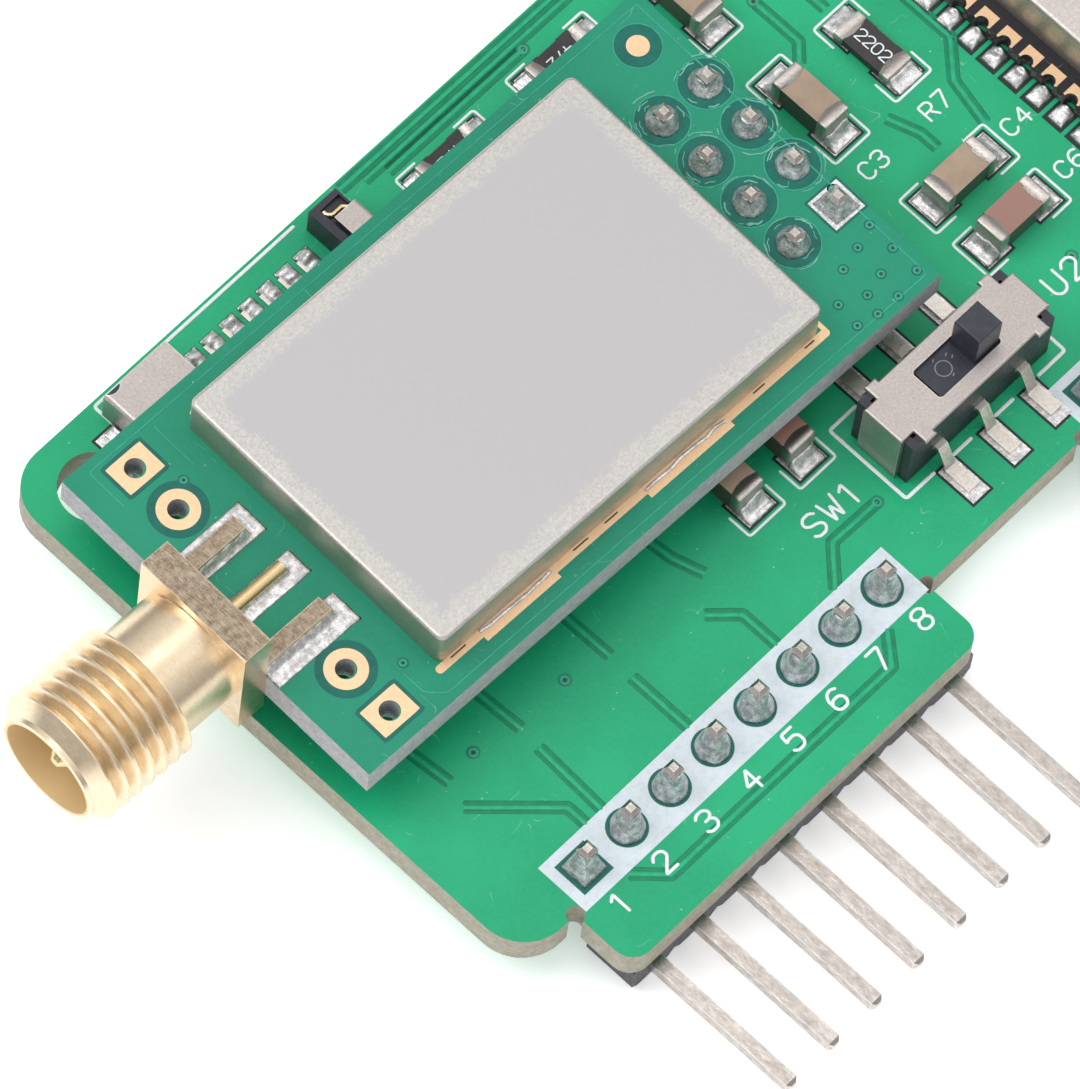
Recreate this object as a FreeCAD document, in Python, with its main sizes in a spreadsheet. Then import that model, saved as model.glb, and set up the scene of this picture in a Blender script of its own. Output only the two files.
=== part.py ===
import FreeCAD, Part
import math
import os
import Sketcher

# Add-on radio board for a handheld host: a long-range 2.4 GHz radio board on stilts, a Wi-Fi module,
# a microSD socket, a slide switch, two push buttons and two right-angle headers on one main board.
# Frame: origin at the mounting hole's centre on the board's underside, +Z towards the components,
# +X along the long edge from the hole, -Y towards the header pins. Millimetres.

os.makedirs("parts", exist_ok=True)
doc = FreeCAD.newDocument("spectrum_analyzer")
Vector = FreeCAD.Vector
Z_AXIS = Vector(0, 0, 1)

# ---------------------------------------------------------------- driving dimensions

DIMENSIONS = [
    # main board
    ("board_length", 62.8, "main board along X"),
    ("board_width", 29.8, "main board along Y without its tabs"),
    ("board_thick", 1.6, "main board thickness"),
    ("board_corner", 2.2, "main board corner radius"),
    ("hole_dia", 3.2, "mounting hole for an M3 screw"),
    ("hole_inset_x", 2.85, "hole centre from the left edge"),
    ("hole_inset_y", 2.8, "hole centre from the back edge"),
    ("tab_reach", 3.2, "header tabs past the front edge"),
    ("tab_margin_near", 1.75, "tab side before its first pin"),
    ("tab_margin_far", 1.42, "tab side after its last pin"),
    ("tab_corner", 1.0, "outer corner radius of the tabs"),
    ("relief_dia", 0.8, "cutter relief in the inner corners of the tabs"),
    # right-angle headers
    ("pitch", 2.54, "header pin pitch"),
    ("pin_one_inset", 4.75, "pin 1 from the left edge"),
    ("pin_row_inset", 1.2, "pin row behind the front edge"),
    ("row_gap", 12.7, "last pin of the first header to the first pin of the second"),
    ("pin_side", 0.64, "square pin"),
    ("pin_chamfer", 0.16, "chamfer on pin tips"),
    ("pin_hole", 1.0, "plated hole of a pin"),
    ("pin_bend", 0.9, "outer radius of a pin's bend"),
    ("pin_rise", 2.0, "pin tip above the board"),
    ("pin_reach", 7.75, "pin past the housing"),
    ("housing_height", 2.0, "header housing below the board"),
    ("housing_depth", 2.55, "header housing along the pins"),
    ("housing_setback", 1.65, "housing in front of the pin row"),
    ("housing_notch", 0.35, "depth of the break notches"),
    ("solder_dia", 1.65, "solder joint on its pad"),
    ("solder_top", 0.8, "solder joint where it meets the pin"),
    ("solder_rise", 1.35, "height of a solder joint"),
    # radio board on stilts
    ("radio_length", 33.0, "radio board along X"),
    ("radio_width", 17.8, "radio board along Y"),
    ("radio_thick", 1.6, "radio board thickness"),
    ("radio_stand", 2.54, "radio board above the main board"),
    ("radio_skew", -1.63, "turn of the radio board as soldered, degrees"),
    ("radio_pin_x", 29.594, "first pin of its header, along X"),
    ("radio_pin_y", -6.048, "first pin of its header, along Y"),
    ("radio_end_margin", 0.92, "header pins from the board's right end"),
    ("radio_side_margin", 5.0, "header pins from the board's back edge"),
    ("radio_pin_rise", 0.96, "header pin tip above the radio board"),
    ("radio_pin_drop", 1.3, "header pin tip below the main board"),
    ("radio_solder_rise", 0.7, "solder joints on the radio board"),
    ("spare_hole", 0.9, "unused holes at the antenna end"),
    ("spare_hole_inset", 2.57, "unused holes from the antenna end"),
    ("spare_hole_inner", 4.86, "inner pair from the antenna axis"),
    ("spare_hole_outer", 7.4, "outer pair from the antenna axis"),
    ("can_length", 22.0, "radio shield can along X"),
    ("can_width", 14.7, "radio shield can along Y"),
    ("can_height", 2.15, "radio shield can height"),
    ("can_wall", 0.2, "shield can sheet"),
    ("can_corner", 0.4, "shield can corner radius"),
    ("can_edge", 0.18, "shield can top edge radius"),
    ("can_from_pins", 4.6, "can's right wall from the header pins"),
    # antenna connector
    ("flange_thick", 1.45, "connector flange thickness"),
    ("flange_width", 6.0, "connector flange along Y"),
    ("flange_height", 6.35, "connector flange along Z"),
    ("barrel_dia", 5.3, "smooth barrel"),
    ("barrel_length", 2.95, "smooth barrel from the flange"),
    ("thread_dia", 6.35, "quarter-inch thread, major diameter"),
    ("thread_pitch", 0.7056, "36 threads per inch"),
    ("thread_depth", 0.42, "thread depth"),
    ("thread_crest", 0.1, "cutter's wide side outside the thread"),
    ("thread_turns", 6.0, "full threads"),
    ("mouth_length", 0.82, "plain lead in front of the thread"),
    ("mouth_dia", 5.15, "outside of the mouth"),
    ("bore_dia", 4.6, "bore of the mouth"),
    ("bore_depth", 4.2, "bore depth"),
    ("dielectric_dia", 4.1, "insulator diameter"),
    ("contact_dia", 0.92, "centre contact in the bore"),
    ("contact_recess", 0.45, "centre contact behind the mouth"),
    ("tail_dia", 0.6, "centre contact on the board"),
    ("axis_rise", 0.42, "connector axis above the radio board"),
    ("leg_length", 3.75, "ground legs along the board"),
    ("leg_width", 0.75, "ground leg width"),
    ("leg_height", 0.8, "ground leg height"),
    ("leg_spacing", 4.96, "ground legs, centre to centre"),
    ("leg_solder", 1.65, "solder pad width of a leg"),
    ("tail_solder", 1.35, "solder pad width of the tail"),
    ("solder_film", 0.12, "solder thickness on flat pads"),
    ("solder_lead", 0.9, "solder pad past the end of a leg"),
    # microSD socket
    ("socket_x", 2.5, "socket's left side"),
    ("socket_width", 13.9, "socket along X"),
    ("socket_depth", 15.0, "socket along Y"),
    ("socket_height", 1.85, "socket above the board"),
    ("socket_inset", 0.7, "socket front behind the board's back edge"),
    ("shell_wall", 0.2, "socket shell sheet"),
    ("arm_width", 3.6, "left arm of the shell beside the recess"),
    ("recess_depth", 3.7, "recess in the shell's front"),
    ("rail_width", 1.6, "right rail with the lock"),
    ("left_rail_width", 0.8, "left rail"),
    ("rail_shell_inset", 0.97, "shell front behind the rail's front"),
    ("rail_shell_side", 0.52, "shell edge from the rail's left side"),
    ("floor_thick", 0.3, "socket base floor"),
    ("tail_first_share", 0.2302, "first contact from the left side, as a share of the socket's width"),
    ("tail_pitch_share", 0.07914, "contact pitch as a share of the socket's width"),
    ("tail_width", 0.5, "contact width"),
    ("contact_thick", 0.12, "contact strip thickness"),
    ("tail_pad", 0.72, "solder pad width of a contact tail"),
    ("mount_pad", 1.2, "solder pad length of a shell foot"),
    ("mount_inset", 0.6, "shell foot behind the socket front"),
    ("mount_reach", 0.55, "solder of a shell foot past the shell"),
    ("tail_front", 0.8, "contact tails behind the socket front"),
    ("tail_length", 0.75, "flat part of a contact tail"),
    ("slider_length", 5.0, "lock slider along Y"),
    ("slider_width", 0.9, "lock slider along X"),
    ("slider_height", 0.8, "lock slider height"),
    ("slider_travel", 1.3, "lock slider travel"),
    ("channel_end", 0.6, "rail behind the lock spring"),
    ("rod_gap", 0.4, "cam rod's bed to the slider's channel"),
    ("finger_setback", 3.0, "slider's finger behind the channel's front"),
    ("finger_length", 0.7, "slider's finger along Y"),
    ("finger_reach", 0.5, "slider's finger past the rail"),
    ("finger_gap", 0.1, "clearance of the finger along Y"),
    ("slide_gap", 0.05, "running clearance of slides"),
    ("spring_dia", 0.7, "lock spring outside diameter"),
    ("spring_wire", 0.12, "lock spring wire"),
    ("rod_dia", 0.22, "cam rod wire"),
    ("rod_reach", 2.3, "cam rod's inner end behind the socket front"),
    ("rod_inset", 0.4, "cam rod's outer end behind the socket front"),
    ("rod_offset", 0.9, "cam rod's outer end from its straight part"),
    ("rod_bend", 0.17, "length of the cam rod's bends"),
    ("corner_notch", 0.5, "radius of the notch in the shell's front corner"),
    # slide switch
    ("switch_x", 28.15, "switch centre along X"),
    ("switch_y", -21.7, "switch centre along Y"),
    ("switch_length", 8.6, "switch housing along X"),
    ("switch_width", 3.5, "switch cover along Y"),
    ("switch_height", 3.4, "switch cover above the board"),
    ("switch_wall", 0.35, "switch housing wall"),
    ("cover_sheet", 0.2, "switch cover sheet"),
    ("cover_length", 7.5, "wide part of the switch cover"),
    ("ear_length", 0.65, "ears on the cover's long sides, along X"),
    ("ear_reach", 0.22, "ears past the cover's sides"),
    ("tongue_width", 2.1, "cover tongues at the ends"),
    ("window_length", 3.75, "lever window along X"),
    ("window_width", 1.65, "lever window along Y"),
    ("window_corner", 0.2, "corner radius of the lever window"),
    ("lever_side", 1.4, "square lever"),
    ("lever_rise", 1.8, "lever above the cover"),
    ("lever_travel", 2.1, "lever travel"),
    ("lever_plate", 5.5, "lever's base plate along X"),
    ("lever_plate_thick", 0.6, "lever's base plate thickness"),
    ("switch_pitch", 2.5, "switch terminal pitch"),
    ("terminal_width", 0.66, "switch terminal width"),
    ("terminal_neck", 0.55, "width of a terminal's slope"),
    ("terminal_thick", 0.25, "switch terminal sheet"),
    ("terminal_reach", 2.15, "switch terminal past the housing"),
    ("terminal_foot", 1.3, "flat foot of a switch terminal"),
    ("terminal_exit", 1.05, "terminal height where it leaves the housing"),
    ("contact_inset", 1.1, "fixed contact from the housing's side inwards"),
    ("bridge_width", 0.6, "moving contact width"),
    ("bridge_thick", 0.12, "moving contact sheet"),
    ("bridge_overlap", 0.3, "moving contact past the fixed contacts"),
    ("bridge_toe", 0.2, "flat toe and upturn of a moving contact"),
    # Wi-Fi module
    ("wifi_inset", 18.6, "module's left edge from the board's right edge"),
    ("wifi_y", -11.83, "module centre along Y"),
    ("wifi_length", 25.5, "module along X"),
    ("wifi_width", 18.0, "module along Y"),
    ("wifi_thick", 0.8, "module board thickness"),
    ("wifi_can_length", 17.3, "module can along X"),
    ("wifi_can_width", 15.9, "module can along Y"),
    ("wifi_can_height", 2.3, "module can height"),
    ("wifi_can_inset", 1.2, "module can from the left edge"),
    ("wifi_pitch", 1.27, "half-hole pitch"),
    ("wifi_end_pads", 10.0, "half holes on the end"),
    ("wifi_side_pads", 14.0, "half holes on each side"),
    ("wifi_side_first", 1.5, "first side half hole from the left edge"),
    ("half_hole", 0.6, "half-hole diameter"),
    ("wifi_solder_width", 0.85, "solder on a half hole"),
    ("wifi_solder_reach", 0.8, "solder past the module edge"),
    ("wifi_solder_cling", 0.15, "solder thickness at the top of a half hole"),
    # chip parts
    ("chip_length", 3.1, "chip part length"),
    ("chip_width", 1.5, "chip part width"),
    ("capacitor_height", 1.35, "chip capacitor height"),
    ("resistor_height", 0.55, "chip resistor height"),
    ("cap_end", 0.5, "metal end cap length"),
    ("cap_skin", 0.03, "metal end cap past the body"),
    ("chip_solder_reach", 0.75, "solder past the end caps"),
    ("chip_solder_rise", 0.4, "solder height on the end caps"),
    # push buttons
    ("button_first", 15.6, "first button from the board's right edge"),
    ("button_pitch", 8.0, "button spacing"),
    ("button_inset", 3.0, "button centre behind the back edge"),
    ("button_length", 4.2, "button case along X"),
    ("button_width", 3.2, "button case along Y"),
    ("button_height", 1.9, "button case height"),
    ("button_wall", 0.35, "button case wall"),
    ("button_floor", 0.4, "button case floor"),
    ("button_cover", 0.15, "button cover sheet"),
    ("plunger_dia", 1.6, "button plunger"),
    ("plunger_rise", 0.6, "plunger above the cover"),
    ("plunger_travel", 0.25, "plunger travel"),
    ("plunger_flange", 2.2, "plunger's retaining flange"),
    ("plunger_flange_thick", 0.35, "thickness of that flange"),
    ("plunger_gap", 0.05, "plunger clearance in its cover"),
    ("dome_sheet", 0.06, "spring dome sheet"),
    ("button_terminal", 0.6, "side of a button's terminal"),
    ("button_terminal_thick", 0.2, "thickness of a button's terminal"),
]

PINS_FIRST = 8
PINS_SECOND = 10
RADIO_ROWS = 4
SOCKET_CONTACTS = 8
SWITCH_TERMINALS = 3
SPRING_TURNS = 7

sheet = doc.addObject("Spreadsheet::Sheet", "dims")
for row, (alias, number, meaning) in enumerate(DIMENSIONS, start=1):
    sheet.set("A%d" % row, alias)
    sheet.set("B%d" % row, str(number))
    sheet.set("C%d" % row, meaning)
    sheet.setAlias("B%d" % row, alias)
doc.recompute()


class Size:
    """A number together with the spreadsheet formula that gives it."""

    def __init__(self, number, formula):
        self.number = float(number)
        self.formula = formula

    def __float__(self):
        return self.number

    def __add__(self, other):
        return combine(self, "+", other)

    def __radd__(self, other):
        return combine(other, "+", self)

    def __sub__(self, other):
        return combine(self, "-", other)

    def __rsub__(self, other):
        return combine(other, "-", self)

    def __mul__(self, other):
        return combine(self, "*", other)

    def __rmul__(self, other):
        return combine(other, "*", self)

    def __truediv__(self, other):
        return combine(self, "/", other)

    def __neg__(self):
        return combine(0, "-", self)


def as_size(value):
    return value if isinstance(value, Size) else Size(value, "(%.9f)" % value)


def combine(left, sign, right):
    left = as_size(left)
    right = as_size(right)
    numbers = {
        "+": lambda a, b: a + b,
        "-": lambda a, b: a - b,
        "*": lambda a, b: a * b,
        "/": lambda a, b: a / b,
    }
    number = numbers[sign](left.number, right.number)
    return Size(number, "(%s %s %s)" % (left.formula, sign, right.formula))


class Dimensions:
    """Reads a driving dimension from the sheet by its alias."""

    def __getattr__(self, alias):
        return Size(sheet.get(alias), "dims." + alias)


d = Dimensions()


def bind(obj, prop, size):
    """Bind a property of a document object to the sheet."""
    obj.setExpression(prop, as_size(size).formula)


# ---------------------------------------------------------------- frames and places


class Frame:
    """A level frame on the board: an origin and a turn about Z."""

    def __init__(self, x, y, z, turn=0.0):
        self.x = as_size(x)
        self.y = as_size(y)
        self.z = as_size(z)
        self.turn = turn

    def point(self, x, y, z=0):
        cosine = math.cos(math.radians(self.turn))
        sine = math.sin(math.radians(self.turn))
        return (self.x + cosine * as_size(x) - sine * as_size(y),
                self.y + sine * as_size(x) + cosine * as_size(y),
                self.z + z)

    def at(self, x, y, z=0, turn=0.0):
        return Frame(*self.point(x, y, z), self.turn + turn)

    def placement(self):
        base = Vector(float(self.x), float(self.y), float(self.z))
        return FreeCAD.Placement(base, FreeCAD.Rotation(Z_AXIS, self.turn))


BOARD = Frame(0, 0, 0)
TOP = Frame(0, 0, d.board_thick)
BOARD_LEFT = -d.hole_inset_x
BOARD_RIGHT = BOARD_LEFT + d.board_length
BOARD_BACK = d.hole_inset_y
BOARD_FRONT = BOARD_BACK - d.board_width
PIN_ROW_Y = BOARD_FRONT + d.pin_row_inset
FIRST_PIN_X = BOARD_LEFT + d.pin_one_inset
SECOND_PIN_X = FIRST_PIN_X + (PINS_FIRST - 1) * d.pitch + d.row_gap

RADIO_TURN = float(d.radio_skew)
RADIO_UNDER = Frame(d.radio_pin_x, d.radio_pin_y, d.board_thick, RADIO_TURN)
RADIO = RADIO_UNDER.at(0, 0, d.radio_stand)
RADIO_TOP = RADIO.at(0, 0, d.radio_thick)
RADIO_RIGHT = d.radio_end_margin
RADIO_LEFT = RADIO_RIGHT - d.radio_length
RADIO_BACK = d.radio_side_margin
RADIO_FRONT = RADIO_BACK - d.radio_width
RADIO_AXIS_Y = RADIO_BACK - d.radio_width / 2
CAN_LEFT = -d.can_from_pins - d.can_length
ANTENNA = RADIO_TOP.at(RADIO_LEFT, RADIO_AXIS_Y, d.axis_rise)

SOCKET = TOP.at(d.socket_x, BOARD_BACK - d.socket_inset)
SWITCH = TOP.at(d.switch_x, d.switch_y)
WIFI = TOP.at(BOARD_RIGHT - d.wifi_inset, d.wifi_y)

NODES = []


def as_node(obj, label, frame=BOARD):
    """Name an object as a sub-part and put it in its frame."""
    obj.Label = label
    obj.Placement = frame.placement()
    bind(obj, "Placement.Base.x", frame.x)
    bind(obj, "Placement.Base.y", frame.y)
    bind(obj, "Placement.Base.z", frame.z)
    NODES.append(obj)
    return obj


# ---------------------------------------------------------------- modelling helpers


def new_body():
    return doc.addObject("PartDesign::Body", "Body")


def new_sketch(body, plane="XY", lift=0):
    """A sketch on one of the body's own origin planes, lifted along the plane's normal."""
    sketch = body.newObject("Sketcher::SketchObject", "Sketch")
    origin_plane = next(f for f in body.Origin.OriginFeatures if f.Role == plane + "_Plane")
    sketch.AttachmentSupport = [(origin_plane, "")]
    sketch.MapMode = "FlatFace"
    bind(sketch, "AttachmentOffset.Base.z", lift)
    return sketch


def pin_point(sketch, element, point, x, y):
    """Hold a sketch point at x, y from the sketch's origin."""
    for axis, size in (("DistanceX", as_size(x)), ("DistanceY", as_size(y))):
        if size.number == 0:
            line = -2 if axis == "DistanceX" else -1
            sketch.addConstraint(Sketcher.Constraint("PointOnObject", element, point, line))
        else:
            index = sketch.addConstraint(Sketcher.Constraint(axis, -1, 1, element, point, size.number))
            bind(sketch, "Constraints[%d]" % index, size)


def polygon(sketch, points):
    """A closed outline through points whose places are bound to the sheet."""
    corners = [Vector(float(x), float(y), 0) for x, y in points]
    first = sketch.GeometryCount
    for index, start in enumerate(corners):
        sketch.addGeometry(Part.LineSegment(start, corners[(index + 1) % len(corners)]))
    for index, (x, y) in enumerate(points):
        before = first + (index - 1) % len(points)
        sketch.addConstraint(Sketcher.Constraint("Coincident", before, 2, first + index, 1))
        pin_point(sketch, first + index, 1, x, y)
    return sketch


def rectangle(sketch, x, y, length, width):
    return polygon(sketch, [(x, y), (x + length, y), (x + length, y + width), (x, y + width)])


def centred(sketch, x, y, length, width):
    return rectangle(sketch, as_size(x) - length / 2, as_size(y) - width / 2, as_size(length), as_size(width))


def circle(sketch, x, y, diameter):
    centre = Vector(float(x), float(y), 0)
    index = sketch.addGeometry(Part.Circle(centre, Z_AXIS, float(diameter) / 2))
    pin_point(sketch, index, 3, x, y)
    constraint = sketch.addConstraint(Sketcher.Constraint("Diameter", index, float(diameter)))
    bind(sketch, "Constraints[%d]" % constraint, diameter)
    return sketch


def pad(body, sketch, length, both_ways=False, reverse=False):
    feature = body.newObject("PartDesign::Pad", "Pad")
    feature.Profile = sketch
    feature.SideType = "Symmetric" if both_ways else "One side"
    feature.Reversed = reverse
    bind(feature, "Length", length)
    doc.recompute()
    return feature


def pocket(body, sketch, depth=None, reverse=False):
    """Cut to a depth, or right through both ways when no depth is given."""
    before = body.Shape.Volume
    feature = body.newObject("PartDesign::Pocket", "Pocket")
    feature.Profile = sketch
    feature.Reversed = reverse
    if depth is None:
        feature.Type = "ThroughAll"
        feature.SideType = "Symmetric"
    else:
        bind(feature, "Length", depth)
    doc.recompute()
    if not body.Shape.Volume < before:
        raise ValueError("a pocket in %s cuts nothing" % body.Label)
    return feature


def own_axis(body, name):
    return next(f for f in body.Origin.OriginFeatures if f.Role == name + "_Axis")


def revolve(body, axis):
    """Turn the body's last sketch once round one of its own axes."""
    feature = body.newObject("PartDesign::Revolution", "Revolution")
    feature.Profile = [f for f in body.Group if f.isDerivedFrom("Sketcher::SketchObject")][-1]
    feature.ReferenceAxis = (own_axis(body, axis), [""])
    feature.Angle = 360
    doc.recompute()
    return feature


def repeat(body, feature, axis, spacing, count):
    """Repeat a feature along one of the body's own axes."""
    pattern = body.newObject("PartDesign::LinearPattern", "LinearPattern")
    pattern.Originals = [feature]
    pattern.Direction = (own_axis(body, axis), [""])
    bind(pattern, "Length", spacing * (count - 1))
    pattern.Occurrences = int(count)
    body.Tip = pattern
    doc.recompute()
    return pattern


def edges_where(shape, wanted):
    return ["Edge%d" % (i + 1) for i, edge in enumerate(shape.Edges) if wanted(edge)]


def dress(body, kind, size, wanted):
    """Round or bevel the edges that wanted picks."""
    base = body.Tip
    names = edges_where(base.Shape, wanted)
    feature = body.newObject("PartDesign::" + kind, kind)
    feature.Base = (base, names)
    bind(feature, "Radius" if kind == "Fillet" else "Size", size)
    doc.recompute()
    return feature


def is_vertical(edge):
    """A straight edge along Z."""
    start = edge.Vertexes[0].Point
    end = edge.Vertexes[-1].Point
    return math.hypot(start.x - end.x, start.y - end.y) < 1e-6 < abs(start.z - end.z)


def at_height(z):
    level = float(z)
    return lambda edge: all(abs(v.Point.z - level) < 1e-6 for v in edge.Vertexes)


def block(label, frame, x, y, z, length, width, height):
    """A rectangular sub-part given by its lowest corner in its frame."""
    box = doc.addObject("Part::Box", "Box")
    bind(box, "Length", length)
    bind(box, "Width", width)
    bind(box, "Height", height)
    return as_node(box, label, frame.at(x, y, z))


def solid_box(x, y, z, length, width, height):
    """A box for pieces that are made by loops, from sizes of the sheet."""
    corner = Vector(float(x), float(y), float(z))
    return Part.makeBox(float(length), float(width), float(height), corner)


def extruded(points, start, reach, axis):
    """A prism: an outline in the plane across the axis, pushed along it."""
    if axis == "X":
        corners = [Vector(float(start), float(a), float(b)) for a, b in points]
        push = Vector(float(reach), 0, 0)
    else:
        corners = [Vector(float(a), float(start), float(b)) for a, b in points]
        push = Vector(0, float(reach), 0)
    return Part.Face(Part.makePolygon(corners + corners[:1])).extrude(push)


def strip(path, thick, start, reach, axis):
    """A bent sheet strip: its lower line is the path, its thickness is upwards."""
    upper = [(a, as_size(b) + thick) for a, b in reversed(path)]
    return extruded(list(path) + upper, start, reach, axis)


def solid_set(label, solids, frame=BOARD):
    """One sub-part that is a set of separate like solids."""
    feature = doc.addObject("Part::Feature", "Feature")
    feature.Shape = Part.makeCompound(solids)
    return as_node(feature, label, frame)


def moved(shape, frame):
    copy = shape.copy()
    copy.Placement = frame.placement().multiply(copy.Placement)
    return copy


# ---------------------------------------------------------------- main board


def radio_pin_frames():
    """The eight pins of the radio board's header, first row on its right."""
    return [RADIO_UNDER.at(-column * d.pitch, -row * d.pitch)
            for column in range(2) for row in range(RADIO_ROWS)]


def make_main_board():
    body = new_body()
    pad(body, rectangle(new_sketch(body), BOARD_LEFT, BOARD_FRONT, d.board_length, d.board_width),
        d.board_thick)
    dress(body, "Fillet", d.board_corner, is_vertical)
    for first_x, count in ((FIRST_PIN_X, PINS_FIRST), (SECOND_PIN_X, PINS_SECOND)):
        tab_left = first_x - d.tab_margin_near
        tab_length = d.tab_margin_near + (count - 1) * d.pitch + d.tab_margin_far
        tab_front = BOARD_FRONT - d.tab_reach
        sketch = new_sketch(body)
        rectangle(sketch, tab_left, tab_front, tab_length, d.tab_reach + d.pin_row_inset)
        pad(body, sketch, d.board_thick)
        front = float(tab_front)
        dress(body, "Fillet", d.tab_corner,
              lambda edge: is_vertical(edge) and abs(edge.Vertexes[0].Y - front) < 1e-6)
        reliefs = new_sketch(body)
        circle(reliefs, tab_left, BOARD_FRONT, d.relief_dia)
        circle(reliefs, tab_left + tab_length, BOARD_FRONT, d.relief_dia)
        pocket(body, reliefs)
        hole = pocket(body, circle(new_sketch(body), first_x, PIN_ROW_Y, d.pin_hole))
        repeat(body, hole, "X", d.pitch, count)
    pocket(body, circle(new_sketch(body), 0, 0, d.hole_dia))
    radio_holes = new_sketch(body)
    for frame in radio_pin_frames():
        circle(radio_holes, frame.x, frame.y, d.pin_hole)
    pocket(body, radio_holes)
    as_node(body, "main_board")


# ---------------------------------------------------------------- right-angle headers


def make_header(prefix, count, first_x):
    """Housing below the tab, bent square pins and their solder joints on top."""
    frame = BOARD.at(first_x, PIN_ROW_Y)
    pin_level = -d.housing_height / 2

    body = new_body()
    outline = new_sketch(body, "XZ", d.housing_setback)
    rectangle(outline, -d.pitch / 2, -d.housing_height, d.pitch * count, d.housing_height)
    pad(body, outline, d.housing_depth)
    notches = new_sketch(body, "XZ", d.housing_setback)
    edge = -d.pitch / 2
    for tip, base in ((-d.housing_height + d.housing_notch, -d.housing_height - d.housing_notch),
                      (-d.housing_notch, d.housing_notch)):
        polygon(notches, [(edge - 2 * d.housing_notch, base), (edge + 2 * d.housing_notch, base), (edge, tip)])
    notch = pocket(body, notches)
    repeat(body, notch, "X", d.pitch, count + 1)
    pin_slot = new_sketch(body, "XZ", d.housing_setback)
    centred(pin_slot, 0, pin_level, d.pin_side, d.pin_side)
    slot = pocket(body, pin_slot)
    repeat(body, slot, "X", d.pitch, count)
    as_node(body, prefix + "_housing", frame)

    half = d.pin_side / 2
    tip_y = -d.housing_setback - d.housing_depth - d.pin_reach
    tip_z = d.board_thick + d.pin_rise
    pin = new_body()
    side_view = new_sketch(pin, "YZ")
    polygon(side_view, [(half, tip_z), (-half, tip_z), (-half, pin_level + half), (tip_y, pin_level + half),
                        (tip_y, pin_level - half), (half, pin_level - half)])
    pad(pin, side_view, d.pin_side, both_ways=True)
    corner_y, corner_z = float(half), float(pin_level - half)
    dress(pin, "Fillet", d.pin_bend,
          lambda e: all(abs(v.Y - corner_y) + abs(v.Z - corner_z) < 1e-6 for v in e.Vertexes))
    inner_y, inner_z = float(-half), float(pin_level + half)
    dress(pin, "Fillet", d.pin_bend - d.pin_side,
          lambda e: all(abs(v.Y - inner_y) + abs(v.Z - inner_z) < 1e-6 for v in e.Vertexes))
    far_y, far_z = float(tip_y), float(tip_z)
    dress(pin, "Chamfer", d.pin_chamfer,
          lambda e: all(abs(v.Y - far_y) < 1e-6 for v in e.Vertexes)
          or all(abs(v.Z - far_z) < 1e-6 for v in e.Vertexes))
    spots = [frame.at(i * d.pitch, 0) for i in range(count)]
    solid_set(prefix + "_pins", [moved(pin.Shape, spot) for spot in spots])

    joint = solder_joint(d.solder_dia, d.solder_top, d.solder_rise)
    solid_set(prefix + "_solder", [moved(joint, spot.at(0, 0, d.board_thick)) for spot in spots])


# How far out a solder cone's flank still is at half its height, from the pin to the cone's foot.
FLANK_SHARE = 0.3


def solder_joint(base, top, rise):
    """A solder cone with a concave flank round a square pin, standing on z = 0."""
    foot = float(base) / 2
    neck = float(top) / 2
    height = float(rise)
    middle = Vector(neck + (foot - neck) * FLANK_SHARE, 0, height / 2)
    flank = Part.Arc(Vector(foot, 0, 0), middle, Vector(neck, 0, height)).toShape()
    outline = Part.makePolygon([Vector(neck, 0, height), Vector(0, 0, height), Vector(0, 0, 0), Vector(foot, 0, 0)])
    profile = Part.Face(Part.Wire([flank] + outline.Edges))
    cone = profile.revolve(Vector(0, 0, 0), Z_AXIS, 360)
    half = d.pin_side / 2
    return cone.cut(solid_box(-half, -half, -height, d.pin_side, d.pin_side, 3 * height))


# ---------------------------------------------------------------- radio board on stilts


def make_radio_header():
    frames = radio_pin_frames()
    half = d.pitch / 2

    body = new_body()
    outline = new_sketch(body)
    rectangle(outline, -3 * half, half - RADIO_ROWS * d.pitch, 2 * d.pitch, RADIO_ROWS * d.pitch)
    pad(body, outline, d.radio_stand)
    dress(body, "Chamfer", d.housing_notch, is_vertical)
    slots = new_sketch(body)
    for column in range(2):
        centred(slots, -column * d.pitch, 0, d.pin_side, d.pin_side)
    slot = pocket(body, slots)
    rows = repeat(body, slot, "Y", d.pitch, RADIO_ROWS)
    rows.Reversed = True
    as_node(body, "radio_header_housing", RADIO_UNDER)

    low = -d.board_thick - d.radio_pin_drop
    high = d.radio_stand + d.radio_thick + d.radio_pin_rise
    pin = new_body()
    pad(pin, centred(new_sketch(pin, "XY", low), 0, 0, d.pin_side, d.pin_side), high - low)
    ends = (float(low), float(high))
    dress(pin, "Chamfer", d.pin_chamfer,
          lambda e: all(abs(v.Z - ends[0]) < 1e-6 for v in e.Vertexes)
          or all(abs(v.Z - ends[1]) < 1e-6 for v in e.Vertexes))
    solid_set("radio_header_pins", [moved(pin.Shape, frame) for frame in frames])

    upper = solder_joint(d.solder_dia, d.solder_top, d.radio_solder_rise)
    lower = upper.mirror(Vector(0, 0, 0), Z_AXIS)
    joints = [moved(upper, frame.at(0, 0, d.radio_stand + d.radio_thick)) for frame in frames]
    joints += [moved(lower, frame.at(0, 0, -d.board_thick)) for frame in frames]
    solid_set("radio_header_solder", joints)


def spare_hole_centres():
    offsets = (d.spare_hole_outer, d.spare_hole_inner, -d.spare_hole_inner, -d.spare_hole_outer)
    return [(RADIO_LEFT + d.spare_hole_inset, RADIO_AXIS_Y + offset) for offset in offsets]


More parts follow.
